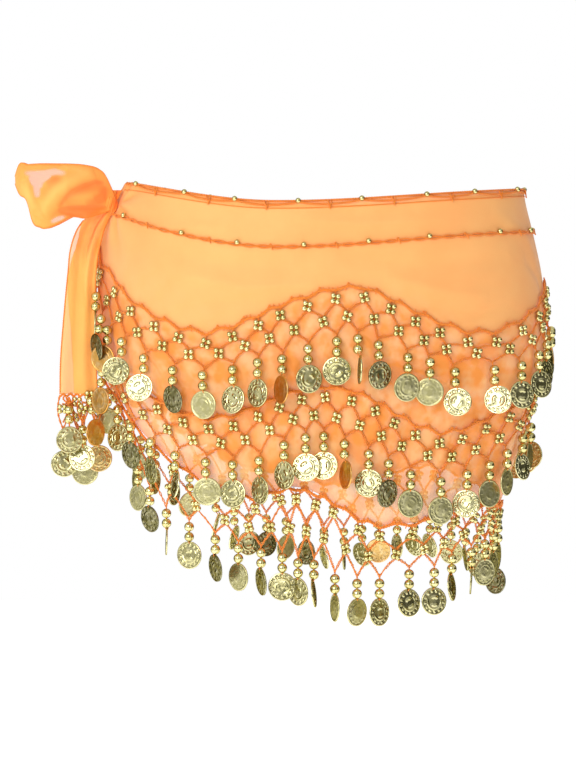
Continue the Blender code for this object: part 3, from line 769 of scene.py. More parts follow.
def make_wrap_chiffon():
    """Peach above, mottled below by two noises, and more orange by a stored number that adds doubled and
    hemmed cloth to painted shade."""
    material, recipe, shader = new_material("wrap_chiffon")
    uv = recipe.uv()
    weave = recipe.place(WEAVE, Vector=uv, Pitch=THREAD_PITCH)
    # mottle: pale single layer and orange doubled cloth, the orange partly painted shade, laid out by noise
    broad = recipe.times(recipe.noise(uv, 34.0, 3.0, 0.55), 0.65)
    fine = recipe.times(recipe.noise(uv, 90.0, 2.0, 0.5), 0.35)
    mottled = recipe.mix(recipe.step(recipe.plus(broad, fine), 0.42, 0.6), ORANGE, PALE)
    clouds = recipe.step(recipe.noise(uv, 14.0, 4.0, 0.6), 0.3, 0.7)
    upper = recipe.mix(clouds, PEACH, PEACH_DEEPER)
    lower = recipe.stored("lower")
    colour = recipe.mix(lower, upper, mottled)
    # deeper colour of doubled and hemmed cloth, and painted shade on folds, gathers and creases
    colour = recipe.mix(recipe.stored("layers_and_shade"), colour, ORANGE)
    gaps = recipe.times(recipe.minus(1.0, weave["Thread"]), 0.25)
    colour = recipe.mix(gaps, colour, DEEP)
    cover = recipe.minus(0.95, recipe.times(lower, 0.15))
    finish_chiffon(recipe, shader, weave, colour, recipe.minus(cover, recipe.times(gaps, 0.3)))
    return material


WRAP_CHIFFON = make_wrap_chiffon()
print(WRAP_CHIFFON.name, len(WRAP_CHIFFON.node_tree.nodes), "nodes")

# %% [markdown]
# The bow and the tail are the same cloth, more orange, with more seen through it. How much each place hides
# is stored with the mesh, and so are painted shade in its folds and painted light on its ridges. Shadow rays
# find this cloth thinner than the camera does, so that light comes through it and its own layers don't
# blacken one another.

# %% Chiffon of the bow and tail
SHADOW_LOSS = 0.4  # the share of its cover that the cloth loses for shadow rays


def make_loose_chiffon():
    """Stored folds are painted shade that deepens the colour, stored light is painted light that makes it
    paler, and stored cover is its Alpha.
    """
    material, recipe, shader = new_material("loose_chiffon")
    uv = recipe.uv()
    weave = recipe.place(WEAVE, Vector=uv, Pitch=THREAD_PITCH)
    soft = recipe.step(recipe.noise(uv, 40.0, 3.0), 0.3, 0.7)
    colour = recipe.mix(soft, (1.0, 0.34, 0.04, 1), (1.0, 0.42, 0.065, 1))
    # painted shade: deeper where the stored folds lie in shade
    colour = recipe.mix(recipe.stored("folds"), colour, (0.98, 0.20, 0.012, 1))
    # painted light: paler where the stored light falls on ridges
    colour = recipe.mix(recipe.stored("light"), colour, (1.0, 0.49, 0.10, 1))
    gaps = recipe.times(recipe.minus(1.0, weave["Thread"]), 0.06)
    full = recipe.calc("MAXIMUM", recipe.minus(recipe.stored("cover"), gaps), 0.05)
    in_shadow = recipe.add("ShaderNodeLightPath").outputs["Is Shadow Ray"]
    kept = recipe.minus(1.0, recipe.times(in_shadow, SHADOW_LOSS))
    finish_chiffon(recipe, shader, weave, colour, recipe.times(full, kept))
    return material


LOOSE_CHIFFON = make_loose_chiffon()
print(LOOSE_CHIFFON.name, len(LOOSE_CHIFFON.node_tree.nodes), "nodes")

# %% [markdown]
# ## Crochet thread
# Crochet thread is deeper in colour than the cloth and matt, with painted shade in the grooves between its
# plies and painted highlights on its hairs.

# %% Crochet thread
def make_crochet():
    """Plies from the twist group paint shade into the grooves and raise the relief, and hairs add painted
    highlights here and there."""
    material, recipe, shader = new_material("crochet_thread")
    twist = recipe.place(TWIST, Vector=recipe.uv(), Pitch=1.2 * MM)
    # painted shade: darker in the grooves between the plies
    colour = recipe.mix(twist["Height"], (0.88, 0.13, 0.006, 1), (1.0, 0.32, 0.02, 1))
    # painted highlights where the hairs catch the light
    colour = recipe.mix(recipe.step(twist["Hair"], 0.5, 0.75), colour, (1.0, 0.44, 0.06, 1))
    rough = recipe.plus(0.62, recipe.times(twist["Hair"], 0.25))
    normal = recipe.bump(twist["Height"], strength=0.5, distance=0.3 * MM)
    recipe.fill(shader, {"Base Color": colour, "Roughness": rough, "Normal": normal, "Sheen Weight": 0.2})
    return material


CROCHET = make_crochet()
print(CROCHET.name, len(CROCHET.node_tree.nodes), "nodes")

# %% [markdown]
# ## Brass
# Coins and beads are thin plated brass. A coin is polished on what stands proud and dull and olive in the
# hollows, and no two reflect the room alike: each has a tone from 0 to 1 stored on its points. Under 0.12 its
# colour is a painted dark reflection, about 0.42 it is dull and flat, about 0.47 it is a painted orange
# reflection of the cloth, and over 0.8 a painted bright reflection of the light. Beads are smooth, so they
# need far less.

# %% Brass
# painted reflections: dark as of the dark room, bright as of the light; olive is the brass itself
DARK_REFLECTION, OLIVE, BRIGHT_REFLECTION = (0.17, 0.16, 0.07, 1), (0.64, 0.59, 0.28, 1), (0.95, 0.91, 0.52, 1)
# painted reflection of the orange cloth
ORANGE_REFLECTION = (0.80, 0.42, 0.10, 1)


def new_brass(name):
    """A metal whose edges reflect in brass tones, and the tone stored for each coin or bead."""
    material, recipe, shader = new_material(name)
    recipe.fill(shader, {"Metallic": 1.0, "Specular Tint": (0.30, 0.24, 0.08, 1)})
    return material, recipe, shader, recipe.stored("tone")


def make_coin_gilt():
    """The tone picks the colour, from a painted dark reflection through olive brass and a painted orange
    reflection to a painted bright one, and the sharpness of the relief; hollows are darker and rougher.
    """
    material, recipe, shader, tone = new_brass("coin_gilt")
    # painted dark reflection for the lowest tones
    colour = recipe.mix(recipe.step(tone, 0.08, 0.3), DARK_REFLECTION, OLIVE)
    # painted bright reflection for the highest tones
    colour = recipe.mix(recipe.step(tone, 0.72, 0.95), colour, BRIGHT_REFLECTION)
    # painted orange reflection about tone 0.47
    colour = recipe.mix(recipe.step(recipe.apart(tone, 0.47), 0.02, 0.04), ORANGE_REFLECTION, colour)
    stamped = recipe.place(COIN_RELIEF, Vector=recipe.uv(), Turn=recipe.times(tone, 25.0))
    crisp = recipe.step(recipe.apart(tone, 0.42), 0.06, 0.12)
    sharp = recipe.plus(0.22, recipe.times(crisp, 0.78))
    hollow = recipe.times(recipe.minus(1.0, stamped["Raised"]), sharp)
    colour = recipe.mix(recipe.times(hollow, 0.55), colour, (0.30, 0.27, 0.12, 1))
    colour = recipe.mix(recipe.times(stamped["Wear"], 0.25), colour, (0.95, 0.88, 0.62, 1))
    polish = recipe.plus(recipe.times(tone, 0.12), recipe.times(crisp, 0.12))
    rough = recipe.plus(recipe.minus(0.38, polish), recipe.times(hollow, 0.08))
    normal = recipe.bump(stamped["Height"], strength=sharp, distance=1.2 * MM)
    recipe.fill(shader, {"Base Color": colour, "Roughness": rough, "Normal": normal})
    return material


def make_bead_gilt():
    """Smooth brass with dull patches, and a painted dark reflection towards the rim of each bead."""
    material, recipe, shader, tone = new_brass("bead_gilt")
    colour = recipe.mix(tone, (0.62, 0.54, 0.20, 1), (0.90, 0.82, 0.41, 1))
    dull = recipe.step(recipe.noise(recipe.on_object(), 300.0, 3.0, 0.6), 0.35, 0.75)
    colour = recipe.mix(recipe.times(dull, 0.35), colour, (0.45, 0.38, 0.16, 1))
    # painted dark reflection at the rim, as of a dark room at grazing angles
    rim = recipe.add("ShaderNodeLayerWeight", {"Blend": 0.35}).outputs["Facing"]
    dark = recipe.times(recipe.step(rim, 0.35, 0.95), 0.8)
    colour = recipe.mix(dark, colour, (0.16, 0.13, 0.03, 1))
    recipe.fill(shader, {"Base Color": colour, "Roughness": recipe.plus(0.06, recipe.times(dull, 0.06))})
    return material


COIN_GILT = make_coin_gilt()
BEAD_GILT = make_bead_gilt()
print("materials:", len(bpy.data.materials))

# %% [markdown]
# ## Where the tiers lie
# Each tier starts with a scalloped heading chain. A flower of four beads hangs under each of its dips,
# strands run down from there to a second row of flowers half a step aside, and from those to the points
# where the drops hang. No hand-made net is even, so the front's flowers and drops have their own places.
# Behind, a wave and small chance offsets place them.

# %% Places of the front's flowers and drops
AROUND = 44  # drops of a tier
AHEAD = 22  # those of the front, which come first
DROP_COLUMNS = np.arange(AROUND) - 11
BACK = DROP_COLUMNS > 10
FRONT_FLOWERS = [
    # column and height (mm) of the first row's flowers, from the knot to the right hip
    [
        (-10.65, -44), (-10.35, -63), (-8.9, -77), (-7.6, -91), (-6.5, -102), (-5.55, -110), (-4.55, -114),
        (-3.57, -108), (-2.62, -99), (-1.8, -91), (-0.77, -84), (0.33, -78), (1.45, -77), (2.45, -86),
        (3.35, -96), (4.23, -105), (5.25, -113), (6.35, -114), (7.5, -106), (8.6, -96), (9.5, -86),
        (10.4, -78),
    ],
    [
        (-11.1, -112), (-10.1, -128), (-9.1, -144), (-7.9, -158), (-6.8, -169), (-5.75, -178),
        (-4.75, -182), (-3.8, -179), (-2.8, -171), (-1.9, -163), (-1.0, -157), (-0.07, -155), (1.0, -158),
        (1.95, -166), (2.75, -176), (3.65, -186), (4.62, -193), (5.57, -191), (6.55, -184), (7.45, -176),
        (8.5, -168), (9.6, -163),
    ],
    [],  # the third tier's keep the way that the wave gives them
]
FRONT_DROPS = [
    # column and height (mm) of each drop's upper bead
    [
        (-11.0, -81), (-10.0, -99), (-8.9, -108), (-7.9, -116), (-6.95, -128), (-5.75, -136), (-4.65, -139),
        (-3.57, -134), (-2.62, -128), (-1.7, -125), (-0.72, -117), (0.38, -111), (1.18, -109), (1.95, -114),
        (3.05, -124), (3.85, -128), (4.75, -136), (6.3, -136), (7.4, -134), (8.3, -127), (9.2, -120),
        (10.1, -112),
    ],
    [
        (-11.0, -143), (-10.1, -162), (-9.2, -174), (-8.2, -186), (-7.2, -196), (-6.2, -205), (-5.05, -209),
        (-4.0, -210), (-2.88, -206), (-1.77, -193), (-0.88, -187), (-0.12, -186), (0.75, -192),
        (1.78, -200), (2.65, -208), (3.6, -217), (4.9, -224), (6.07, -220), (6.98, -214), (7.7, -206),
        (8.7, -196), (9.8, -190),
    ],
    [
        (-12.5, -208), (-11.67, -217.5), (-10.67, -229), (-9.08, -242), (-7.88, -257), (-6.66, -265),
        (-5.33, -272.5), (-4.31, -278.5), (-3.28, -281.5), (-2.22, -284.5), (-1.43, -288.3),
        (-0.64, -289.5), (0.43, -301), (1.56, -305), (2.7, -305.5), (4.05, -298.5), (5.27, -299),
        (6.2, -289.5), (7.2, -286.5), (8.03, -282), (9.0, -278.5), (9.9, -275),
    ],
]
COIN_TONES = [
    # tone of each front coin in hundredths, which picks its painted reflection in the brass material
    [40, 2, 47, 60, 100, 8, 42, 80, 65, 47, 30, 62, 30, 20, 35, 40, 86, 97, 78, 78, 75, 62],
    [47, 35, 58, 8, 20, 90, 40, 76, 52, 56, 100, 96, 47, 82, 12, 42, 35, 86, 42, 40, 90, 35],
    [35, 42, 43, 8, 38, 52, 12, 43, 18, 70, 30, 58, 43, 42, 52, 76, 78, 62, 20, 42, 40, 40],
]
BESIDE_TAIL = [
    # number of a drop that hangs in front of the tail's inner edge, x of its upper bead and coin, y (mm)
    [(0, -189.5, -190.5, -38), (1, -184.5, -188.5, -47)],
    [(0, -184.5, -186, -44)],
    [],
]
print("drops placed by hand:", sum(len(rows) for rows in FRONT_DROPS))

# %% Sizes of the nets and drops
CHANCE = np.random.default_rng(11)
TIERS = [
    # the wavy line, and for the drops behind: mean height and depth (mm), how much of the wave they keep,
    # and how many columns stay free at the knot
    dict(name="tier1", line=TIER_LINES[0], mean=-90, point=36, keep=0.72, gap=0.8),
    dict(name="tier2", line=TIER_LINES[1], mean=-166, point=36, keep=0.80, gap=0.8),
    dict(name="tier3", line=TIER_LINES[2], mean=-242, point=47, keep=0.75, gap=0),
]
FLOWER_DEPTH = 8.5 * MM  # of the first row of flowers, under the wavy line
BEAD_RADIUS = 3.9 * MM
ROOT_TO_BEAD = 5.6 * MM
BEAD_STEP = 8.2 * MM
BEAD_TO_COIN = 15.0 * MM
COIN_RADIUS = 11.2 * MM
SECOND_SHARE = 0.53  # how far the second row of flowers lies on the way to the points
HEADING_RISE = 6.6 * MM
SCALLOP = 2.6 * MM


def lay_out(number, tier):
    """Flowers and drops of a tier. Behind, a drop's height is mean + keep (line - mean) - depth."""
    mean = tier["mean"] * MM
    front = np.array(FRONT_DROPS[number]) * (1, MM)
    behind = np.linspace(front[-1, 0], front[0, 0] + COLUMNS - tier["gap"], AROUND - AHEAD + 2)[1:-1]
    behind = behind + CHANCE.uniform(-0.2, 0.2, AROUND - AHEAD)
    low = mean + (wave(tier["line"], behind) - mean) * tier["keep"] - tier["point"] * MM
    drops = np.concatenate([front, np.stack([behind, low], axis=1)])
    column = drops[:, 0] + CHANCE.uniform(-0.15, 0.15, AROUND)
    height = wave(tier["line"], column) - FLOWER_DEPTH + CHANCE.uniform(-0.6, 0.6, AROUND) * MM
    flowers = np.stack([column, height], axis=1)
    if FRONT_FLOWERS[number]:
        flowers[:AHEAD] = np.array(FRONT_FLOWERS[number]) * (1, MM)
    points = drops + (0.0, ROOT_TO_BEAD)
    over, under = (flowers[:-1] + flowers[1:]) / 2, (points[:-1] + points[1:]) / 2
    second = over + (under - over) * (0.5, SECOND_SHARE)
    second = second + CHANCE.uniform(-1, 1, second.shape) * (0.06, 0.5 * MM)
    return dict(tier, first=flowers, second=second, points=points, drops=drops)


def heading_height(tier, column):
    """The heading chain: a rise above the flowers, and between them a bulge of sin^2 of the way."""
    places = tier["first"]
    way = np.interp(column, places[:, 0], np.arange(AROUND))
    base = np.interp(column, places[:, 0], places[:, 1]) + HEADING_RISE
    return base + SCALLOP * np.sin(math.pi * way) ** 2


TIERS = [lay_out(number, tier) for number, tier in enumerate(TIERS)]
print("drops:", sum(len(tier["drops"]) for tier in TIERS))

# %% [markdown]
# ## The wrap
# The wrap is one length of chiffon that goes once round the hips, from the top edge down to the wavy hem.
# It is a grid of columns and rows on the hip form. A single surface is right for a cloth this thin. Two
# numbers are stored for the material: whether a point is below the first tier, and how much deeper in colour
# it is, because the cloth is doubled or hemmed there, and where painted shade lies on its folds and creases.

# %% Wrap
WRAP_COLUMNS, WRAP_ROWS = 530, 104
LAP = 1.1 * MM  # how far the overlapping end stands off the one below it
LAP_LENGTH, LAP_RISE = 0.16, 0.9  # columns: how far it laps over, and how long it takes to rise


def wrap_layers_and_shade(column, height, top, hem, lower):
    """Where the wrap is deeper in colour: hems, doubled cloth near the knot, the knot's folds with painted
    shade, painted shade on body folds and in the gathers' valleys, and painted shade and light on creases.
    """
    edge = np.clip(1 - (top - height) / (1.5 * MM), 0, 0.5)
    edge = edge + np.clip(5.7 - (top - height) / MM, 0, 0.5)
    edge = edge + np.clip(1 - (height - hem) / (7 * MM), 0, 1)
    # the knot's two folds: doubled cloth with painted shade
    drawn = lines_total(KNOT_FOLDS, round_distance(column, -11) * COLUMN_STEP / MM, height / MM)
    doubled = bell(round_distance(column, -10.2), 2.2) * lower * 0.85
    # painted shade on one side of each body fold, below the first tier
    step_aside = relief(column + 0.35, height) - relief(column, height)
    fold = np.clip(step_aside / (1.2 * MM), 0, 1) * 0.5
    near_knot = bell(round_distance(column, -11.6), 0.9)
    # painted shade in the valleys of the gathers
    gather_valley_shade = np.clip(-gathers(column, height) / GATHER_DEPTH, 0, 1)
    # painted shade on each crease's downward-facing slope and painted light on its upward-facing one
    step_up = crease_relief(column, height + 1.5 * MM) - crease_relief(column, height)
    crease_slope_shade = np.clip(step_up / (0.5 * MM), -1, 1) * (1 - lower)
    total = edge * 0.6 + drawn + doubled + fold * lower + near_knot * 0.3 + gather_valley_shade * 0.5 + crease_slope_shade * 0.12
    return np.clip(total, 0, 1)


def build_wrap():
    """Rows run evenly from the top edge to the hem at every column, and the last columns lap over the first.
    The UV is the column and the height in metres."""
    last = SPLIT_KNOT + COLUMNS
    column = np.linspace(SPLIT_KNOT + 0.02, last + LAP_LENGTH, WRAP_COLUMNS + 1)[None, :]
    lap = LAP * np.clip((column - last) / LAP_RISE + 1, 0, 1)
    share = np.linspace(0, 1, WRAP_ROWS + 1)[:, None]
    top, hem = wave(TOP_EDGE, column), wave(TIER_LINES[2], column)
    height = top + (hem - top) * share
    column = np.broadcast_to(column, height.shape)
    points = hip(column, height, lap)
    lower = smooth_step(np.clip((heading_height(TIERS[0], column) - height) / (10 * MM), 0, 1))
    keep = {"lower": lower, "layers_and_shade": wrap_layers_and_shade(column, height, top, hem, lower)}
    uv = np.stack([column * COLUMN_STEP, height], axis=-1)
    quads = grid_faces(1, WRAP_ROWS + 1, WRAP_COLUMNS + 1, closed=False)[:, ::-1]
    return add_mesh("wrap_cloth", points, quads, uv, attributes=keep)


wrap_cloth = put(build_wrap(), "chiffon", WRAP_CHIFFON, "wrap_front", "wrap_back")

# %% [markdown]
# ## Cords along the wrap
# The top edge is finished with crochet: a twisted cord on the very edge, a second one that leaves it and
# comes back at each small bead, and a rolled hem just below. Halfway between the beads a little loop
# reaches down. The second chain crosses the wrap lower down, from the knot round to the back. Beads are
# balls of few faces, because there are hundreds of them.

# %% Beads
STEP = 0.036  # columns from ring to ring of a cord, about 0.8 mm


def columns_between(first, last, step=STEP):
    """Evenly spaced columns, both ends included."""
    return np.linspace(first, last, int(round((last - first) / step)) + 1)


def spheres(bundle, middles, radius, rows, sides, tone=0.5):
    """Beads: rings of radius r sin(p) at heights r cos(p), for p from nearly 0 to nearly 180 degrees."""
    middles = np.asarray(middles, float).reshape(-1, 3)
    polar = np.linspace(0.12, math.pi - 0.12, rows)[:, None]
    around = np.arange(sides) * TURN / sides
    ball = [np.sin(polar) * np.cos(around), np.sin(polar) * np.sin(around), np.cos(polar)]
    ball = np.stack(np.broadcast_arrays(*ball), axis=-1)
    points = middles[:, None, None, :] + radius * ball
    uv = np.stack(np.broadcast_arrays(around / TURN, polar / math.pi), axis=-1)
    uv = np.broadcast_to(uv, points.shape[:-1] + (2,))
    tone = np.broadcast_to(tone, len(middles))
    quads, caps = tube_faces(len(middles), rows, sides)
    bundle.add(points, uv, quads[:, ::-1], caps[:, ::-1], np.repeat(tone, rows * sides))


print("rings of a cord round the hips:", len(columns_between(0, COLUMNS)))

# %% Edge cords
LIFT = 1.1 * MM  # how far a cord's path lies off the cloth
EDGE_BEAD = dict(radius=2.15 * MM, rows=9, sides=12)
TOP_BEADS = np.concatenate([[-8.7, -6, -3.9, -1.25, 1.5, 4.2, 6.2, 8.7], np.arange(11.1, 31, 2.3)])
CHAIN_BEADS = np.concatenate([[-9.05, -5.8, -3.6, -0.95, 1.7, 4.1, 7.0, 9.1], np.arange(11.5, 31.8, 2.4)])
TOP_LOOPS, CHAIN_LOOPS = ((beads[:-1] + beads[1:]) / 2 for beads in (TOP_BEADS, CHAIN_BEADS))


def build_edge_cords():
    """The edge cord, one that dips from it by |sin| of the way between beads, the rolled hem and loops."""
    bundle = Bundle()
    column = columns_between(SPLIT_KNOT + 1.7, SPLIT_KNOT + COLUMNS - 0.1)
    top = wave(TOP_EDGE, column)
    edge = hip(column, top + 0.5 * MM, 0.3 * MM)
    between = np.interp(column, TOP_BEADS, np.arange(len(TOP_BEADS)))
    drop = 2.3 * MM * np.abs(np.sin(math.pi * between)) ** 0.7
    second = hip(column, top - 0.2 * MM - drop, 0.9 * MM)
    bundle.add_cords(np.stack([edge, second]), "edge")
    hem = hip(column, top - 5.2 * MM, 0.3 * MM)
    bundle.add_tubes(hem[None, ::2], 0.38 * MM, sides=4)
    lean = np.linspace(0, 1, 7)[None, :]
    for shift, depth in ((-0.09, 4.4), (0.06, 6.4)):
        height = wave(TOP_EDGE, TOP_LOOPS)[:, None] - depth * MM * lean
        path = hip(TOP_LOOPS[:, None] + shift * (1 - lean), height, 1.8 * MM)
        bundle.add_cords(path, "edge loop")
    return bundle.build("edge_cords")


def build_second_chain():
    """Two fine cords that part and meet again, with small loops halfway between the beads."""
    bundle = Bundle()
    column = columns_between(-11.0, 32.4)
    line = wave(SECOND_CHAIN, column)
    part = 1.0 * MM * np.sin(TURN * column / 1.15)
    upper, lower = hip(column, line + part, LIFT), hip(column, line - part, LIFT + 0.2 * MM)
    bundle.add_cords(np.stack([upper, lower]), "chain")
    lean = np.linspace(0, 1, 9)[None, :]
    loop = wave(SECOND_CHAIN, CHAIN_LOOPS)[:, None] + 2.4 * MM * np.sin(TURN * lean * 0.75)
    path = hip(CHAIN_LOOPS[:, None] + 0.16 * (lean - 0.5), loop, LIFT + 0.6 * MM)
    bundle.add_cords(path, "chain loop")
    return bundle.build("second_chain_cords")


def build_edge_beads():
    """Small round beads on the edge cord and just above the second chain."""
    bundle = Bundle()
    spheres(bundle, hip(TOP_BEADS, wave(TOP_EDGE, TOP_BEADS) + 0.7 * MM, 1.3 * MM), **EDGE_BEAD)
    spheres(bundle, hip(CHAIN_BEADS, wave(SECOND_CHAIN, CHAIN_BEADS) + 1.7 * MM, 2.3 * MM), **EDGE_BEAD)
    return bundle.build("edge_beads")


put(build_edge_cords(), "crochet", CROCHET, "edge_chain")
put(build_second_chain(), "crochet", CROCHET, "second_chain")
put(build_edge_beads(), "gilt", BEAD_GILT)

# %% [markdown]
# ## The nets
# The net of a tier is made from the places laid out above. Every strand is one path in columns and heights,
# so a whole tier's strands are computed in one array. A strand is two thin plies that wind round it, open
# enough to see between them.

# %% Strands
NET_OUT = 1.7 * MM
FLOWER_REACH = 3.4 * MM  # from a flower's middle to the strands that leave it
PETAL_REACH = 3.05 * MM


def strand_paths(starts, ends, sag=0, out=NET_OUT, points=13):
    """Paths between two lists of (column, height): straight, less 4 sag t (1 - t), and a little wavy."""
    t = np.linspace(0, 1, points)[None, :]
    way = ends - starts
    column = starts[:, 0, None] + way[:, 0, None] * t
    height = starts[:, 1, None] + way[:, 1, None] * t - np.reshape(sag, (-1, 1)) * 4 * t * (1 - t)
    height = height + 0.35 * MM * np.sin(19 * t + 5 * np.arange(len(starts))[:, None]) * np.sin(math.pi * t)
    return hip(column, height, out)


def moved(places, height, column=0):
    """Places (column, height) moved up and along."""
    return places + np.array([column, height])


print("a strand has", strand_paths(TIERS[0]["first"], TIERS[0]["points"]).shape[1], "rings")

# %% Nets
def add_heading(bundle, tier):
    """The heading chain, a small picot between each two flowers, and short hooks all along."""
    column = columns_between(SPLIT_KNOT + 0.1, SPLIT_KNOT + COLUMNS - 0.15)
    heading = hip(column, heading_height(tier, column), NET_OUT)
    for kind in ("heading", "heading wrap"):
        bundle.add_cords(heading[None], kind)
    first = tier["first"]
    peaks = (first[:-1, 0] + first[1:, 0]) / 2 + CHANCE.uniform(-0.1, 0.03, AROUND - 1)
    base = np.stack([peaks, heading_height(tier, peaks)], axis=1)
    tips = moved(base, 2.7 * MM, -0.02)
    for lean in (-0.09, 0.06):
        bundle.add_cords(strand_paths(moved(base, -0.3 * MM, lean), tips, points=6), "picot")
    hooks = columns_between(SPLIT_KNOT + 0.15, SPLIT_KNOT + COLUMNS - 0.2, 0.13)
    hooks = hooks + CHANCE.uniform(-0.03, 0.03, len(hooks))
    stem = np.stack([hooks, heading_height(tier, hooks)], axis=1)
    way = CHANCE.uniform(-1, 1, (len(hooks), 2)) * (0.06, 0)
    way = way + (0, 1) * CHANCE.uniform(1.5, 3.0, (len(hooks), 1)) * MM
    way[::3] *= -1
    bundle.add_tubes(strand_paths(stem, stem + way, out=NET_OUT + 0.3 * MM, points=4), 0.42 * MM, sides=4)


def build_tier_net(tier):
    """The heading, the flowers' stems, and two rows of arches that join flowers and points."""
    first, second, points = tier["first"], tier["second"], tier["points"]
    bundle = Bundle()
    add_heading(bundle, tier)
    dips = np.stack([first[:, 0], heading_height(tier, first[:, 0])], axis=1)
    foot = moved(first, -FLOWER_REACH)
    crown, sole = moved(second, FLOWER_REACH), moved(second, -FLOWER_REACH)
    bundle.add_cords(strand_paths(dips, first, points=6), "stem")
    bundle.add_cords(strand_paths(crown, sole, points=5), "stem")
    bundle.add_cords(strand_paths(moved(first, FLOWER_REACH), foot, points=5), "stem")
    sag = CHANCE.uniform(-1.3, -0.4, AROUND - 1) * MM
    for ends in (slice(0, -1), slice(1, None)):
        bundle.add_cords(strand_paths(foot[ends], crown, sag), "strand")
        bundle.add_cords(strand_paths(sole, points[ends], sag), "strand")
    return bundle.build(tier["name"] + "_net_cords")


def flower_beads(bundle, places):
    """Four small beads at 45 degrees about each place, turned by up to 20 degrees."""
    turn = CHANCE.uniform(-0.35, 0.35, len(places))[:, None] + (np.arange(4) + 0.5)[None, :] * TURN / 4
    column = places[:, 0, None] + PETAL_REACH * np.cos(turn) / COLUMN_STEP
    height = places[:, 1, None] + PETAL_REACH * np.sin(turn)
    tone = np.repeat(CHANCE.uniform(0.2, 1, len(places)), 4)
    spheres(bundle, hip(column, height, NET_OUT + 0.9 * MM), 2.2 * MM, 7, 9, tone)


# %% [markdown]
# ## The drops
# A drop is two round beads and a coin on one thread. It hangs straight down from its point, unless the
# cloth is in the way, and then it lies against it. Each coin is turned by its own angle, which is why some
# show as thin ellipses. A coin is a profile of (radius, thickness) turned round its middle, with a raised
# rim and a shallow dish.

# %% Coins
COIN_PROFILE = np.array(
    [
        # radius (share), height above the middle plane (mm)
        (0.06, 0.42), (0.22, 0.46), (0.40, 0.40), (0.60, 0.36), (0.78, 0.36), (0.86, 0.38), (0.90, 0.60),
        (0.97, 0.60), (1.0, 0.42), (1.0, -0.42), (0.97, -0.60), (0.90, -0.60), (0.86, -0.38), (0.78, -0.36),
        (0.40, -0.40), (0.06, -0.42),
    ]
)
COIN_SIDES = 26
DISH = 0.5 * MM  # how far a coin's middle stands in front of its rim
UP = np.array([0.0, 0.0, 1.0])


def coin_axes(turns):
    """The level directions of each coin: along its face, and out of its face."""
    flat = np.zeros(len(turns))
    wide = np.stack([np.cos(turns), np.sin(turns), flat], axis=1)
    return wide, np.stack([np.sin(turns), -np.cos(turns), flat], axis=1)


def coin_leans(tones):
    """Bright coins tip up towards the light and dark ones down: 0.1 - 0.34 tone, give or take 0.05."""
    return 0.1 - 0.34 * tones + CHANCE.uniform(-0.05, 0.05, len(tones))


def add_coins(bundle, middles, turns, leans, tones):
    """Coins about their middles: radius x (cos a w + sin a u) + height x n, dished by 0.5 mm (1 - r^2)."""
    wide, level = coin_axes(turns)
    sine, cosine = np.sin(leans)[:, None], np.cos(leans)[:, None]
    up, front = UP * cosine + level * sine, level * cosine - UP * sine
    angles = np.arange(COIN_SIDES) * TURN / COIN_SIDES
    radius, height = COIN_PROFILE[:, 0, None], COIN_PROFILE[:, 1, None] * MM
    x, y = radius * np.cos(angles), radius * np.sin(angles)
    rise = np.broadcast_to(height + DISH * (1 - radius**2), x.shape)
    flat = x[..., None] * wide[:, None, None, :] + y[..., None] * up[:, None, None, :]
    points = middles[:, None, None, :] + COIN_RADIUS * flat + rise[..., None] * front[:, None, None, :]
    rows = len(COIN_PROFILE)
    uv = np.broadcast_to(np.stack([x, y], axis=-1), points.shape[:-1] + (2,))
    faces = tube_faces(len(middles), rows, COIN_SIDES)
    bundle.add(points, uv, *faces, np.repeat(tones, rows * COIN_SIDES))
    return up


print("a coin is %.1f mm wide" % (2 * COIN_RADIUS / MM))

# %% [markdown]
# The thread is what makes a drop one thing. It comes down from the net into the upper bead, shows for a
# moment between the beads, and goes round through the hole at the coin's top in a flat loop.

# %% Threaded drops
LOOP_RADIUS, LOOP_DEPTH = 0.42 * MM, 1.2 * MM
BETWEEN_BEADS = 0.7 * MM  # radius of the thread that shows there
HOLE = 0.84  # how far up a coin its hole is, as a share of the radius


def blend(first, last, t):
    """Straight paths from each first point to each last one, at shares t (1, n, 1) of the way."""
    return first[:, None, :] * (1 - t) + last[:, None, :] * t


def add_drops(beads, coins, threads, root, bead, lower_bead, coin, turns, tones):
    """Beads, coins and thread of many drops: down through both beads and round through the coin's hole."""
    both = np.concatenate([bead, lower_bead])
    spheres(beads, both, BEAD_RADIUS, 11, 14, CHANCE.uniform(0.3, 1, len(both)))
    up = add_coins(coins, coin, turns, coin_leans(tones), tones)
    hole = coin + up * COIN_RADIUS * HOLE
    t = np.linspace(0, 1, 9)[None, :, None]
    threads.add_cords(blend(root, bead, t), "drop")
    threads.add_tubes(blend(bead, lower_bead, t), BETWEEN_BEADS)
    loop = np.linspace(0, TURN, 13)[None, :, None]
    wide, level = coin_axes(turns)
    tall = ((lower_bead - hole) * 0.5)[:, None, :]
    ring = hole[:, None, :] + tall - tall * np.cos(loop) + level[:, None, :] * LOOP_DEPTH * np.sin(loop)
    threads.add_tubes(ring, LOOP_RADIUS, sides=4, facing=wide[:, None, :])


def put_drops(name, pieces, nodes):
    """The four pieces of a set of drops, from its bundles of coins, beads, flower beads and threads."""
    coins, beads, flowers, threads = pieces
    put(coins.build(name + "_coins"), "gilt", COIN_GILT, *nodes)
    put(beads.build(name + "_beads"), "gilt", BEAD_GILT)
    put(flowers.build(name + "_flower_beads"), "gilt", BEAD_GILT)
    put(threads.build(name + "_drop_threads"), "crochet", CROCHET)


# %% [markdown]
# How a coin is turned decides how wide it looks. The front's are listed as shares of a full face, and the
# angle is the arc cosine of that. The same list serves behind, facing the other way.

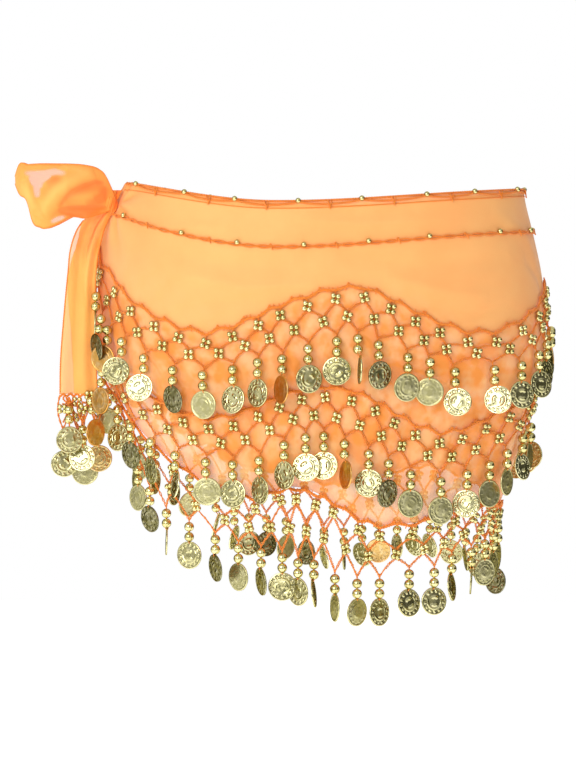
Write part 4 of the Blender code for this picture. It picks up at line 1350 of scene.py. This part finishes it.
# %% How the coins are turned
COIN_FACES = [
    # tenths of a coin's face seen from the front, for each drop of the front
    [1, 5, 9, 10, 8, 7, 9, 8, 7, 5, 9, 10, 1, 8, 9, 10, 9, 10, 9, 8, 5, 3],
    [7, 9, 8, 7, 5, 3, 10, 9, 6, 7, 9, 7, 4, 9, 7, 9, 9, 10, 8, 5, 6, 3],
    [7, 4, 7, 7, 1, 9, 5, 7, 4, 10, 7, 1, 3, 7, 7, 8, 9, 3, 1, 8, 4, 3],
]
TO_LIGHT = -0.2  # how the front's bright coins are turned (radians)
print("coins turned edge on:", sum(row.count(1) for row in COIN_FACES))

# %% [markdown]
# A drop hangs plumb unless the cloth below it stands further out. What lies on the cloth clears it by its
# own thickness, and more where it crosses the next net.

# %% The tiers' drops
def hang(column, above, height, clearance):
    """Straight below a point, or on the cloth with some clearance, whichever is further out."""
    plumb = np.stack([above[:, 0], above[:, 1], height], axis=1)
    pushed = hip(column, height, clearance)
    further = np.hypot(pushed[:, 0], pushed[:, 1]) > np.hypot(plumb[:, 0], plumb[:, 1])
    return np.where(further[:, None], pushed, plumb)


def coin_turns(points, faces, tones):
    """The angle +- acos(share) from facing the front, or the back behind the hips, and how far each coin is
    turned out of the cloth, as |sin|. The sign follows the cloth's own turn, so that coins lie along it."""
    step = np.array([0.1, 0.0])
    along = hip(*(points + step).T) - hip(*(points - step).T)
    ahead = np.where(BACK, math.pi, 0.0)
    cloth = (np.arctan2(along[:, 1], along[:, 0]) - ahead + math.pi) % TURN - math.pi
    turns = ahead + np.copysign(np.arccos(faces), cloth)
    turns = np.where((tones > 0.8) & ~BACK & (faces > 0.6), TO_LIGHT, turns)
    return turns, np.abs(np.sin(turns - cloth - ahead))


def clearances(number, column, height, turned_out):
    """How far the beads and the coins of a tier stand off the cloth. Over the next tier's net they clear
    that too, and on the last tier they hang free. Neighbours differ a little, so that they don't touch."""
    stagger = np.where(DROP_COLUMNS % 2, 0.7, -0.7) * MM
    if number == len(TIERS) - 1:
        return stagger - 1.4 * MM, stagger - 1.4 * MM
    low_end = height - BEAD_STEP - BEAD_RADIUS
    on_net = low_end < heading_height(TIERS[number + 1], column) + 1.7 * MM
    beads = BEAD_RADIUS + LIFT + np.where(on_net, LIFT + 1.5 * MM, 0)
    return beads, 4.6 * MM + COIN_RADIUS * turned_out + stagger


def build_tier(number, tier):
    """The pieces of a tier: net cords, small beads, and the drops' beads, coins and threads."""
    name, (column, height) = tier["name"], tier["drops"].T
    put(build_tier_net(tier), "crochet", CROCHET, f"{name}_net_front", f"{name}_net_back")
    coins, beads, flowers, threads = pieces = [Bundle() for _ in range(4)]
    flower_beads(flowers, np.concatenate([tier["first"], tier["second"]]))
    tones = CHANCE.uniform(0, 1, AROUND)
    tones[:AHEAD] = np.array(COIN_TONES[number]) / 100
    faces = np.tile(COIN_FACES[number], 2) / 10
    turns, turned_out = coin_turns(tier["drops"], faces, tones)
    bead_clear, coin_clear = clearances(number, column, height, turned_out)
    root = hip(column, height + ROOT_TO_BEAD, NET_OUT)
    bead = hang(column, root, height, bead_clear)
    swing = CHANCE.uniform(-0.05, 0.05, AROUND)
    lower_bead = hang(column + swing * 0.4, bead, height - BEAD_STEP, bead_clear)
    coin = hang(column + swing, lower_bead, height - BEAD_STEP - BEAD_TO_COIN, coin_clear)
    for drop, bead_x, coin_x, y in BESIDE_TAIL[number]:
        bead[drop, :2], coin[drop, :2] = np.array([(bead_x, y), (coin_x, y)]) * MM
        lower_bead[drop, :2] = bead[drop, :2] * 0.6 + coin[drop, :2] * 0.4
    add_drops(beads, coins, threads, root, bead, lower_bead, coin, turns, tones)
    put_drops(name, pieces, [f"{name}_drops_front", f"{name}_drops_back"])


for number, tier in enumerate(TIERS):
    build_tier(number, tier)

# %% [markdown]
# ## The knot
# The ends of the wrap are tied into one small tight knot, with the cloth's wrinkles running round it. Above
# it the wrap's corner is pinched into a little fan.

# %% Knot and corner gather
KNOT_MIDDLE = np.array([-177.8, -25.7, -5.0]) * MM
KNOT_RADII = np.array([5.4, 7.0, 8.4]) * MM
GATHER_FOOT = np.array([-175.9, -24.5, -1.5]) * MM
GATHER_HEAD = np.array([-174.8, -22.5, 5.9]) * MM


def add_wrung(name, points, uv, folds, cover):
    """A closed piece of wrung cloth from rings of points, with painted shade in its folds and how much it
    hides.
    """
    quads, caps = tube_faces(1, *points.shape[:2])
    keep = {"folds": folds, "light": np.zeros(folds.shape), "cover": cover}
    uv = np.stack(np.broadcast_arrays(*uv), axis=-1)
    return add_mesh(name, points, quads[:, ::-1], uv, [caps[:, ::-1]], keep)


def build_knot():
    """An ellipsoid whose radius varies by two turns of cloth, cos(2 a + 3 p), and by finer wrinkles."""
    polar = np.linspace(0.06, math.pi - 0.06, 41)[:, None]
    around = (np.arange(64) * TURN / 64)[None, :]
    wraps = 1 + 0.07 * np.cos(2 * around + 3 * polar) + 0.045 * np.cos(9 * around + 5 * polar)
    wraps = wraps + 0.03 * np.cos(17 * around - 7 * polar)
    level = np.sin(polar) * wraps
    ball = np.stack([level * np.cos(around), level * np.sin(around), np.cos(polar) * wraps], axis=-1)
    # painted shade: deeper colour in the grooves between the wrinkles
    folds = np.clip(0.6 - 4 * (wraps - 1), 0, 1)
    uv = (around * 6 * MM, polar * 8 * MM)
    return add_wrung("knot_cloth", KNOT_MIDDLE + ball * KNOT_RADII, uv, folds, np.full(folds.shape, 1.2))


def build_corner_gather():
    """A pleated cone, wider at its head: radius (r0 + (r1 - r0) t) (1 + (0.10 + 0.14 t) cos(5 a))."""
    t = np.linspace(0, 1, 16)[:, None]
    around = (np.arange(60) * TURN / 60)[None, :]
    pleat = 1 + (0.10 + 0.14 * t) * np.cos(5 * around + 1.2)
    wide, deep = (3.4 + 1.7 * t) * MM * pleat, (2.6 + 2.0 * t) * MM * pleat
    flat = np.stack([wide * np.cos(around), deep * np.sin(around), np.zeros(pleat.shape)], axis=-1)
    points = GATHER_FOOT + (GATHER_HEAD - GATHER_FOOT) * t[..., None] + flat
    # painted shade: deeper colour in the grooves between the pleats
    folds = np.clip(0.5 - 2.5 * (pleat - 1), 0, 1)
    cover = 1.15 - 0.3 * t * np.ones(folds.shape)
    return add_wrung("corner_gather_cloth", points, (around * 3 * MM, t * 9 * MM), folds, cover)


put(build_knot(), "chiffon", LOOSE_CHIFFON, "knot")
put(build_corner_gather(), "chiffon", LOOSE_CHIFFON, "corner_gather")

# %% [markdown]
# ## The bow
# The bow is one loop: a band of cloth that leaves the knot, turns back at its far end and comes home. Its
# outline is a table of top and bottom heights at distances from the knot. Ridges and creases sweep from the
# knot across it, with painted light along the ridges and painted shade in the creases. On its way the cloth
# is mostly doubled, and where a single layer shows it is much paler.

# %% Lines of the bow
BOW_OUTLINE = np.array(
    [
        # reach from the knot's middle, top, bottom (mm)
        (-3, 7, -4), (0, 14, -5.5), (2.6, 20, -6.5), (5.0, 24.2, -7.5), (9.3, 27.8, -9), (20.5, 31.3, -12),
        (31.5, 32.2, -11), (38, 32.3, -14.2), (45, 32.4, -17.8), (57, 32.4, -19.6), (64.4, 32, -12),
        (67, 31.8, -1), (75, 30.8, 8.5), (78.4, 22, 16),
    ]
)
BOW_RIDGES = [
    # points (reach, height in mm), half width, depth towards the viewer (mm)
    ([(58, -11), (51, 0), (43, 10), (33, 17), (22, 22.5), (12, 25)], 5.5, 3.0),
    ([(71, 18), (67, 8), (63, -4)], 5, 1.6),
    ([(38, 3), (25, 6), (12, 8), (4, 7)], 4.5, 1.6),
    ([(62, 31), (48, 30), (30, 30), (14, 27)], 3, 1.0),
    ([(41, -3), (35.4, 5), (29, 11), (22, 14.5), (12, 18), (4, 17)], 2.6, -1.8),
    ([(42, -5), (30, -3.2), (16, -3), (2, -3)], 2.4, -1.8),
    ([(47, -13), (41, -6.5), (30, -8), (20, -8.5)], 2.4, -1.3),
    ([(61, 24), (59.5, 14), (59, 5)], 4, -1.5),
    ([(60, 6), (55, -4), (52, -12)], 2, -0.9),
]
BOW_PAINTED_LIGHT = [
    # points (reach, height in mm), half width (mm), strength: painted light, where the cloth is paler on its
    # ridges
    ([(58, -11), (51, 0), (43, 10), (33, 17), (22, 22.5), (12, 24)], 5.2, 1.0),
    ([(72, 20), (67, 8), (63, -6)], 5, 0.9),
    ([(34, 4), (25, 5.5), (13, 6.5)], 4, 0.35),
    ([(40, 31), (28, 29), (14, 25)], 4, 0.45),
]
BOW_FOLD_SHADE = [
    # the same for painted shade, where it is deeper in colour in the creases and by the knot
    ([(41, -3), (35.4, 5), (29, 11), (22, 14.5), (12, 18), (4, 17)], 1.5, 1.0),
    ([(41, -4), (35, 3), (28, 8), (21, 11.5), (11, 15), (3, 13)], 4.5, 0.75),
    ([(42, -5), (30, -3.2), (16, -3), (2, -3)], 1.4, 1.0),
    ([(42, -7), (30, -6), (16, -6), (2, -5)], 4.5, 0.8),
    ([(47, -13), (41, -6.5), (30, -8), (20, -8.5), (8, -6)], 3, 0.7),
    ([(52, 17), (45, 20), (37, 20)], 4, 0.7),
    ([(40, 20), (47, 14), (53, 6)], 3, 0.4),
    ([(12, 2), (6, 6), (3, 14)], 3.5, 0.9),
    ([(20, 0), (8, 3), (2, 3)], 4, 0.7),
]
BOW_SINGLE = [
    # and for where one layer alone shows what is behind it
    ([(71, 25), (61, 24), (53, 24.3), (44, 25.8), (34, 24.3)], 3.0, 1.0),
    ([(59.6, 23), (59.3, 13), (58.6, 4)], 3.0, 1.0),
    ([(55.5, 21), (57.6, 13)], 3.0, 0.9),
    ([(48, 23), (55, 19)], 2.4, 0.9),
    ([(65, 22), (61.5, 15)], 2.2, 0.8),
    ([(48.5, -15.5), (43, -12.8), (36, -10.4)], 2.1, 0.95),
]
print("ridges and creases of the bow:", len(BOW_RIDGES))

# %% Bow
BOW_HALF_DEPTH = 13 * MM
BOW_FORWARD = 4 * MM


def smooth_curve(places, values, at):
    """A cubic through a table: Hermite pieces whose slopes are those between each value's neighbours."""
    slopes = np.gradient(values, places)
    k = np.clip(np.searchsorted(places, at) - 1, 0, len(places) - 2)
    width = places[k + 1] - places[k]
    t = np.clip((at - places[k]) / width, 0, 1)
    return (
        (1 + 2 * t) * (1 - t) ** 2 * values[k]
        + t * (1 - t) ** 2 * width * slopes[k]
        + t * t * (3 - 2 * t) * values[k + 1]
        - t * t * (1 - t) * width * slopes[k + 1]
    )


def bow_surface(turn, share):
    """Reach near + (far - near) (1 - cos a) / 2, depth sin(a) times the half depth, heights between the
    outlines. Ridges lift the front half, and the back half has a soft wave of its own."""
    swell = (1 - np.cos(turn)) / 2
    places = BOW_OUTLINE[:, 0]
    reach = places[0] + (places[-1] - places[0]) * swell
    top = smooth_curve(places, BOW_OUTLINE[:, 1], reach)
    bottom = smooth_curve(places, BOW_OUTLINE[:, 2], reach)
    height = top + (bottom - top) * share
    depth = BOW_HALF_DEPTH * (0.22 + 0.78 * np.minimum(1, 2.2 * swell))
    depth = depth * (0.72 + 0.28 * np.sin(math.pi * share))
    front = np.sin(turn) < 0
    calm = np.minimum(1, np.abs(np.sin(turn)) * 3)
    rise = lines_total(BOW_RIDGES, reach, height) * calm
    behind = 1.6 * np.sin(height / 5.5 + reach / 16) * calm
    out = np.where(front, rise, behind) * MM
    y = np.sin(turn) * depth - BOW_FORWARD + np.where(front, -out, out)
    points = KNOT_MIDDLE + np.stack(np.broadcast_arrays(-reach * MM, y, height * MM), axis=-1)
    return points, reach, height, front


def build_bow():
    """The loop as a closed band. Its stored painted light, painted shade and cover follow its creases."""
    around, rows = 220, 76
    turn = (np.arange(around) * TURN / around)[None, :]
    share = np.linspace(0, 1, rows)[:, None]
    points, reach, height, front = bow_surface(turn, share)
    near_knot = 0.25 * np.clip(1 - reach / 45, 0, 1)
    single = np.clip(lines_total(BOW_SINGLE, reach, height) * 2.2 - 0.5, 0, 1)
    edge = np.clip(1 - np.minimum(share, 1 - share) * 30, 0, 1)
    keep = {
        # painted shade in the creases and deeper by the knot, and a deeper rolled hem at both edges
        "folds": np.where(front, lines_total(BOW_FOLD_SHADE, reach, height) + near_knot, 0.1) + edge * 0.7,
        # painted light along the ridges, and paler on the back half
        "light": np.where(front, lines_total(BOW_PAINTED_LIGHT, reach, height), 0.75),
        "cover": np.where(front, 0.975 - 0.93 * single, 0.60) + edge * 0.3,
    }
    keep = {key: np.clip(values, 0, 1) for key, values in keep.items()}
    uv = np.stack([turn * 26 * MM + 0 * share, height * MM], axis=-1)
    return add_mesh("bow_cloth", points, grid_faces(1, rows, around, closed=True), uv, attributes=keep)


def build_bow_hem():
    """The rolled hem along both edges of the band."""
    bundle = Bundle()
    turn = np.linspace(0.15, TURN - 0.15, 200)[None, :]
    for share in (0.0, 1.0):
        points, _, _, _ = bow_surface(turn, np.full((1, 1), share))
        bundle.add_tubes(points, 0.35 * MM)
    return bundle.build("bow_hem")


bow_cloth = put(build_bow(), "chiffon", LOOSE_CHIFFON, "bow_loop")
bow_hem = put(build_bow_hem(), "crochet", CROCHET)

# %% [markdown]
# ## The tail
# The tail is the loose end of the wrap. It leaves the knot narrow, swings out and hangs in soft vertical
# folds. It is doubled but for a strip along its outer edge, so there are two sheets, one a little narrower
# than the other.

# %% Lines of the tail
TAIL_ROWS = np.array(
    [
        # height, outer edge x, inner edge x, middle y, fold depth (mm)
        (-163, -222, -191, -22, 1.4), (-138, -221, -191.5, -25, 1.2), (-97, -217, -191, -30, 1.2),
        (-60, -212.5, -189.6, -35, 1.5), (-43, -210.5, -187.3, -35, 2), (-32, -207.5, -184.6, -33, 2.2),
        (-25, -204.5, -182.8, -30.5, 2), (-18, -199.5, -179.8, -28.5, 1.2),
        (-12, -193.5, -176.8, -27.5, 0.8), (-6, -186, -174, -27, 0.4),
    ]
)
TAIL_FOLDS = 1.75  # folds side by side
TAIL_SLANT = 3 * MM  # how much lower the outer edge begins
TAIL_TOP, TAIL_END = -6 * MM, -163 * MM
TAIL_ACROSS = 30 * MM  # the width that the weave is laid out on
TAIL_SCALE = 0.2  # metres of height that count as much as the tail's whole width, where creases are measured
TAIL_CREASES = [
    # points (share, height in mm), half width in shares, depth (mm)
    ([(0.78, -9), (0.69, -20), (0.67, -33), (0.60, -46)], 0.045, -1.5),
    ([(0.92, -12), (0.84, -26), (0.80, -36), (0.74, -56), (0.66, -80)], 0.08, 1.3),
    ([(0.28, -40), (0.24, -80), (0.30, -130)], 0.10, 0.8),
    ([(0.56, -60), (0.52, -100), (0.48, -150)], 0.10, -0.6),
    ([(0.88, -70), (0.86, -110), (0.88, -155)], 0.08, -0.6),
]
# a painted shadow line down from the knot, along a fold
TAIL_FOLD_SHADOW = [(0.70, -9), (0.58, -20), (0.55, -33), (0.44, -48)]  # a darker fold down from the knot
FRONT_EDGE = np.array(
    [
        # height (mm), share at which the upper sheet begins
        (-170, 0.38), (-142, 0.36), (-110, 0.27), (-79, 0.07), (-64, 0.02), (-52, 0.09), (-42, 0.18),
        (-33, 0.18), (-25, 0.1), (-20, 0), (-8, 0),
    ]
)
print("creases of the tail:", len(TAIL_CREASES))

# %% Tail
def tail_line(points):
    """A line of (share, height in mm) in the space where the tail's creases are measured."""
    return [(share, height * MM / TAIL_SCALE) for share, height in points]


def tail_surface(share, height, forward):
    """Between the edges, with y = middle - fold sin(2 pi n s + 0.6), moved forward by the creases."""
    places = TAIL_ROWS[:, 0] * MM
    outer, inner, middle, fold = (smooth_curve(places, TAIL_ROWS[:, k] * MM, height) for k in (1, 2, 3, 4))
    x = outer + (inner - outer) * share
    lines = [(tail_line(points), width, depth) for points, width, depth in TAIL_CREASES]
    rise = lines_total(lines, share, height / TAIL_SCALE) * MM
    y = middle - fold * np.sin(TURN * TAIL_FOLDS * share + 0.6) - rise - forward
    return np.stack(np.broadcast_arrays(x, y, height), axis=-1)


def tail_shades(share, height, along):
    """Painted shade and light of a sheet: painted shade in its troughs, under the knot, along a fold from it
    and towards its inner edge, a deeper hem at its borders, painted light on its ridges, paler lower down."""
    lines = [(tail_line(points), width, abs(depth)) for points, width, depth in TAIL_CREASES]
    # painted shade in the troughs of creases 0, 3 and 4
    deep = lines_total([lines[0], lines[3], lines[4]], share, height / TAIL_SCALE)
    # painted light on the ridges of creases 1 and 2
    bright = lines_total([lines[1], lines[2]], share, height / TAIL_SCALE)
    pleat = lines_total([(tail_line(TAIL_FOLD_SHADOW), 0.15, 0.8)], share, height / TAIL_SCALE)
    down = -height / MM
    lower = np.clip((down - 60) / 90, 0, 1)
    near_knot = np.clip(1 - (down - 12) / 26, 0, 1)
    border = np.clip(1 - along * 28, 0, 1) + np.clip(1 - (1 - along) * 28, 0, 1)
    # painted shade in troughs, under the knot, along the fold and towards the inner edge, and a deeper hem
    folds = deep * 0.6 + near_knot * 0.25 + pleat + border * 0.6 + (share - 0.9) * 2
    # painted light on the ridges, and paler lower down
    light = np.clip(bright * 0.5 + lower * 0.35 + np.clip(down / 50 - 0.8, 0, 0.5), 0, 1) * (1 - border)
    return np.clip(folds, 0, 1), light, border


def build_tail(name, forward, edge, cover):
    """One sheet of the tail. The outer edge of the top hangs lower, as the cloth is drawn into the knot."""
    rows, columns = 150, 64
    row = np.linspace(0, 1, rows)[:, None]
    along = np.linspace(0, 1, columns)[None, :]
    slant = TAIL_SLANT * (1 - along) * np.clip(1 - row * 5, 0, 1)
    height = TAIL_TOP + (TAIL_END - TAIL_TOP) * row - slant
    start = np.interp(height, edge[:, 0] * MM, edge[:, 1])
    share = start + (1 - start) * along
    points = tail_surface(share, height, forward)
    folds, light, border = tail_shades(share, height, along)
    hides = np.clip(np.interp(height / MM, *cover.T) + border * 0.25, 0, 1)
    uv = np.stack([share * TAIL_ACROSS, height], axis=-1)
    quads = grid_faces(1, rows, columns, closed=False)[:, ::-1]
    return add_mesh(name, points, quads, uv, attributes={"folds": folds, "light": light, "cover": hides})


FULL_WIDTH = np.array([(-170, 0), (0, 0)])
BACK_COVER = np.array([(-75, 0.86), (-62, 0.8), (-45, 0.6)])  # height (mm), how much the sheet hides
FRONT_COVER = np.array([(-170, 0.93), (0, 0.93)])
tail_back = put(build_tail("tail_cloth", 0.0, FULL_WIDTH, BACK_COVER), "chiffon", LOOSE_CHIFFON, "tail")
tail_front = put(build_tail("tail_front_cloth", 0.9 * MM, FRONT_EDGE, FRONT_COVER), "chiffon", LOOSE_CHIFFON)

# %% [markdown]
# ## The tail's border
# The tail's edges are hemmed, and its end has its own little crochet border with flowers, six points and
# six drops. These drops hang freely, so each has its own place.

# %% Tail border
TAIL_DROPS = np.array(
    [
        # root share, coin x, coin y, coin height (mm), turn (degrees), tone that picks the coin's painted
        # reflection
        (0.06, -218.5, -26, -221, 15, 0.3), (0.24, -212.5, -38, -199.5, 20, 0.33),
        (0.44, -202.5, -16, -229, 10, 0.42), (0.62, -203, -31, -215.5, -5, 1),
        (0.80, -190.5, -42, -193, 55, 0.47), (0.96, -190, -22, -217, 20, 0.5),
    ]
)
TAIL_RIM = TAIL_END - 0.8 * MM  # where the border's cord runs
BETWEEN = 0.6 * MM  # forward of the lower sheet, and so between the two
FORWARD = np.array([0.0, -1.0, 0.0])  # the tail's cords face the viewer, for it hangs away from the body


def tail_rim(share):
    """Points of the tail's rim at shares of its width."""
    return tail_surface(share, np.full(np.shape(share), TAIL_RIM), BETWEEN)


def tail_net_ends():
    """Where the strands to each drop begin at the tail's end, and where they meet above its upper bead."""
    root = tail_rim(TAIL_DROPS[:, 0])
    coin = TAIL_DROPS[:, 1:4] * MM
    span = (root[:, 2] - coin[:, 2])[:, None]
    return root, coin + (root - coin) * (BEAD_TO_COIN + BEAD_STEP + ROOT_TO_BEAD) / span


def build_tail_border():
    """Hems down both edges, a scalloped cord across the end, and strands from it to the drops' roots."""
    bundle = Bundle()
    height = np.linspace(-17, -163, 190)[None, :] * MM
    for share, forward in ((0.0, 0.0), (1.0, BETWEEN)):
        slant = TAIL_SLANT * (1 - share) * np.clip(1 - (TAIL_TOP - height) * 33, 0, 1)
        path = tail_surface(np.full(height.shape, share), height - slant, forward)
        bundle.add_cords(path, "tail hem", FORWARD)
    share = np.linspace(0, 1, 120)[None, :]
    scallops = TAIL_RIM - 0.9 * MM * np.cos(TURN * 5.5 * share)
    bundle.add_cords(tail_surface(share, scallops, BETWEEN), "tail end", FORWARD)
    start, end = tail_net_ends()
    t = np.linspace(0, 1, 13)[None, :, None]
    for lean in (-0.1, 0.1):
        top = tail_rim(np.clip(TAIL_DROPS[:, 0] + lean, 0, 1))
        bow = np.array([lean * 30 * MM, 0, 0]) * np.sin(math.pi * t)
        bundle.add_cords(blend(top, end, t) + bow, "tail strand", FORWARD)
    sag = np.array([0, 0, 3.0 * MM]) * np.sin(math.pi * t)
    for k in range(len(start) - 1):
        for share in (0.25, 0.5, 0.8):
            left, right = start[k:k + 2] * (1 - share) + end[k:k + 2] * share
            bundle.add_cords(blend(left[None], right[None], t) - sag, "tail arch", FORWARD)
    return bundle.build("tail_border_cords")


tail_border = put(build_tail_border(), "crochet", CROCHET)

# %% Tail drops
def add_tail_flowers(bundle):
    """Flowers where the strands of neighbouring drops meet, and a few more just under the tail's end."""
    start, end = tail_net_ends()
    halfway = (start[2:] + end[2:]) / 2
    middles = [halfway, start[2::2] * 0.85 + end[2::2] * 0.15, start[:1] * 0.6 + end[:1] * 0.4]
    middles = np.concatenate(middles)
    turn = CHANCE.uniform(-0.4, 0.4, len(middles))[:, None] + (np.arange(4) + 0.5)[None, :] * TURN / 4
    petals = np.stack([np.cos(turn), np.full(turn.shape, -0.5), np.sin(turn)], axis=-1) * 2.8 * MM
    spheres(bundle, middles[:, None, :] + petals, 2.05 * MM, 7, 8, 0.7)


def build_tail_drops():
    """Root, bead, second bead and coin lie on one straight line for each drop."""
    coins, beads, flowers, threads = pieces = [Bundle() for _ in range(4)]
    add_tail_flowers(flowers)
    _, root = tail_net_ends()
    coin = TAIL_DROPS[:, 1:4] * MM
    down = unit(coin - root)
    bead = root + down * ROOT_TO_BEAD
    lower_bead = bead + down * BEAD_STEP
    turns = np.radians(TAIL_DROPS[:, 4])
    add_drops(beads, coins, threads, root, bead, lower_bead, coin, turns, TAIL_DROPS[:, 5])
    put_drops("tail", pieces, ["tail_drops"])


build_tail_drops()

# %% [markdown]
# ## The cloth pieces
# The wrap, the bow's loop and the tail's two sheets are lengths of the same chiffon, hemmed on their edges.

# %% Sheets
print("cloth:", ", ".join(piece.name for piece in (wrap_cloth, bow_cloth, tail_back, tail_front)))

# %% [markdown]
# ## Light
# Metal shows what is around it, so the sky is not one flat white. The camera sees white behind the scarf,
# while reflections see a bright upper half, a grey horizon and a darker lower half. A large soft light
# stands in front on the left, and a weaker one on the right opens the shadows.

# %% World
def build_world():
    """White for camera rays. Others see grey, dark at the right and light at the left, and white above."""
    world = bpy.data.worlds.new("studio")
    bpy.context.scene.world = world
    world.use_nodes = True
    world.node_tree.nodes.clear()
    recipe = Recipe(world.node_tree)
    x, y, z = recipe.split(recipe.add("ShaderNodeTexCoord").outputs["Generated"])
    side = recipe.plus(recipe.times(x, -0.55), recipe.times(y, -0.45))
    walls = recipe.mix(recipe.step(side, -0.5, 0.6), (0.14, 0.14, 0.10, 1), (0.62, 0.62, 0.56, 1))
    stripes = recipe.calc("SINE", recipe.plus(recipe.times(x, 9.0), recipe.times(z, 6.0)))
    walls = recipe.mix(recipe.step(stripes, -0.5, 0.6), walls, (0.6, 0.6, 0.6, 1), "MULTIPLY")
    low = recipe.mix(recipe.step(z, -0.8, -0.1), (0.42, 0.38, 0.22, 1), walls)
    sky = recipe.mix(recipe.step(z, 0.1, 0.7), low, (1.0, 1.0, 1.0, 1))
    lit = recipe.add("ShaderNodeBackground", {"Color": sky, "Strength": 0.6})
    seen = recipe.add("ShaderNodeBackground", {"Color": (1, 1, 1, 1)})
    camera_ray = recipe.add("ShaderNodeLightPath").outputs["Is Camera Ray"]
    mix = recipe.add("ShaderNodeMixShader", {0: camera_ray, 1: lit.outputs[0], 2: seen.outputs[0]})
    recipe.add("ShaderNodeOutputWorld", {"Surface": mix.outputs[0]})


build_world()
print("world:", bpy.context.scene.world.name)

# %% Lights
AIM = Vector((0, 0, -0.12))


def add_light(name, place, size, watts):
    """A soft oblong light aimed at the middle of the scarf."""
    data = bpy.data.lights.new(name, "AREA")
    data.shape = "RECTANGLE"
    data.size, data.size_y = size
    data.energy = watts
    light = bpy.data.objects.new(name, data)
    bpy.context.scene.collection.objects.link(light)
    light.location = place
    light.rotation_euler = (AIM - Vector(place)).to_track_quat("-Z", "Y").to_euler()
    return light


lights = [
    # name, place (m), width and height (m), watts
    add_light("key", (-1.0, -2.1, 0.75), (1.5, 1.5), 31),
    add_light("fill", (1.5, -2.2, 0.3), (1.2, 2.0), 4.5),
    add_light("left", (-2.3, -0.5, 0.4), (1.2, 1.8), 6),
    add_light("back", (0.6, 2.0, 1.2), (1.4, 1.2), 10),
]
print("lights:", len(lights))

# %% [markdown]
# A pale floor well below the scarf throws some light up from under it. It isn't part of the scarf.

# %% Floor
FLOOR_HEIGHT = -0.95


def add_floor():
    """A plain square that glows a little, so that it looks as white as the rest."""
    mesh = bpy.data.meshes.new("floor")
    mesh.from_pydata([(-3, -3, 0), (3, -3, 0), (3, 3, 0), (-3, 3, 0)], [], [(0, 1, 2, 3)])
    floor = bpy.data.objects.new("floor", mesh)
    bpy.context.scene.collection.objects.link(floor)
    floor.location = (0, 0, FLOOR_HEIGHT)
    material, recipe, shader = new_material("floor_white")
    recipe.fill(shader, {"Base Color": (0.95, 0.95, 0.95, 1), "Roughness": 1.0})
    recipe.fill(shader, {"Emission Color": (1, 1, 1, 1), "Emission Strength": 0.7})
    mesh.materials.append(material)
    return floor


add_floor()
bpy.context.scene.view_settings.view_transform = "Standard"
print("floor at", FLOOR_HEIGHT, "m")
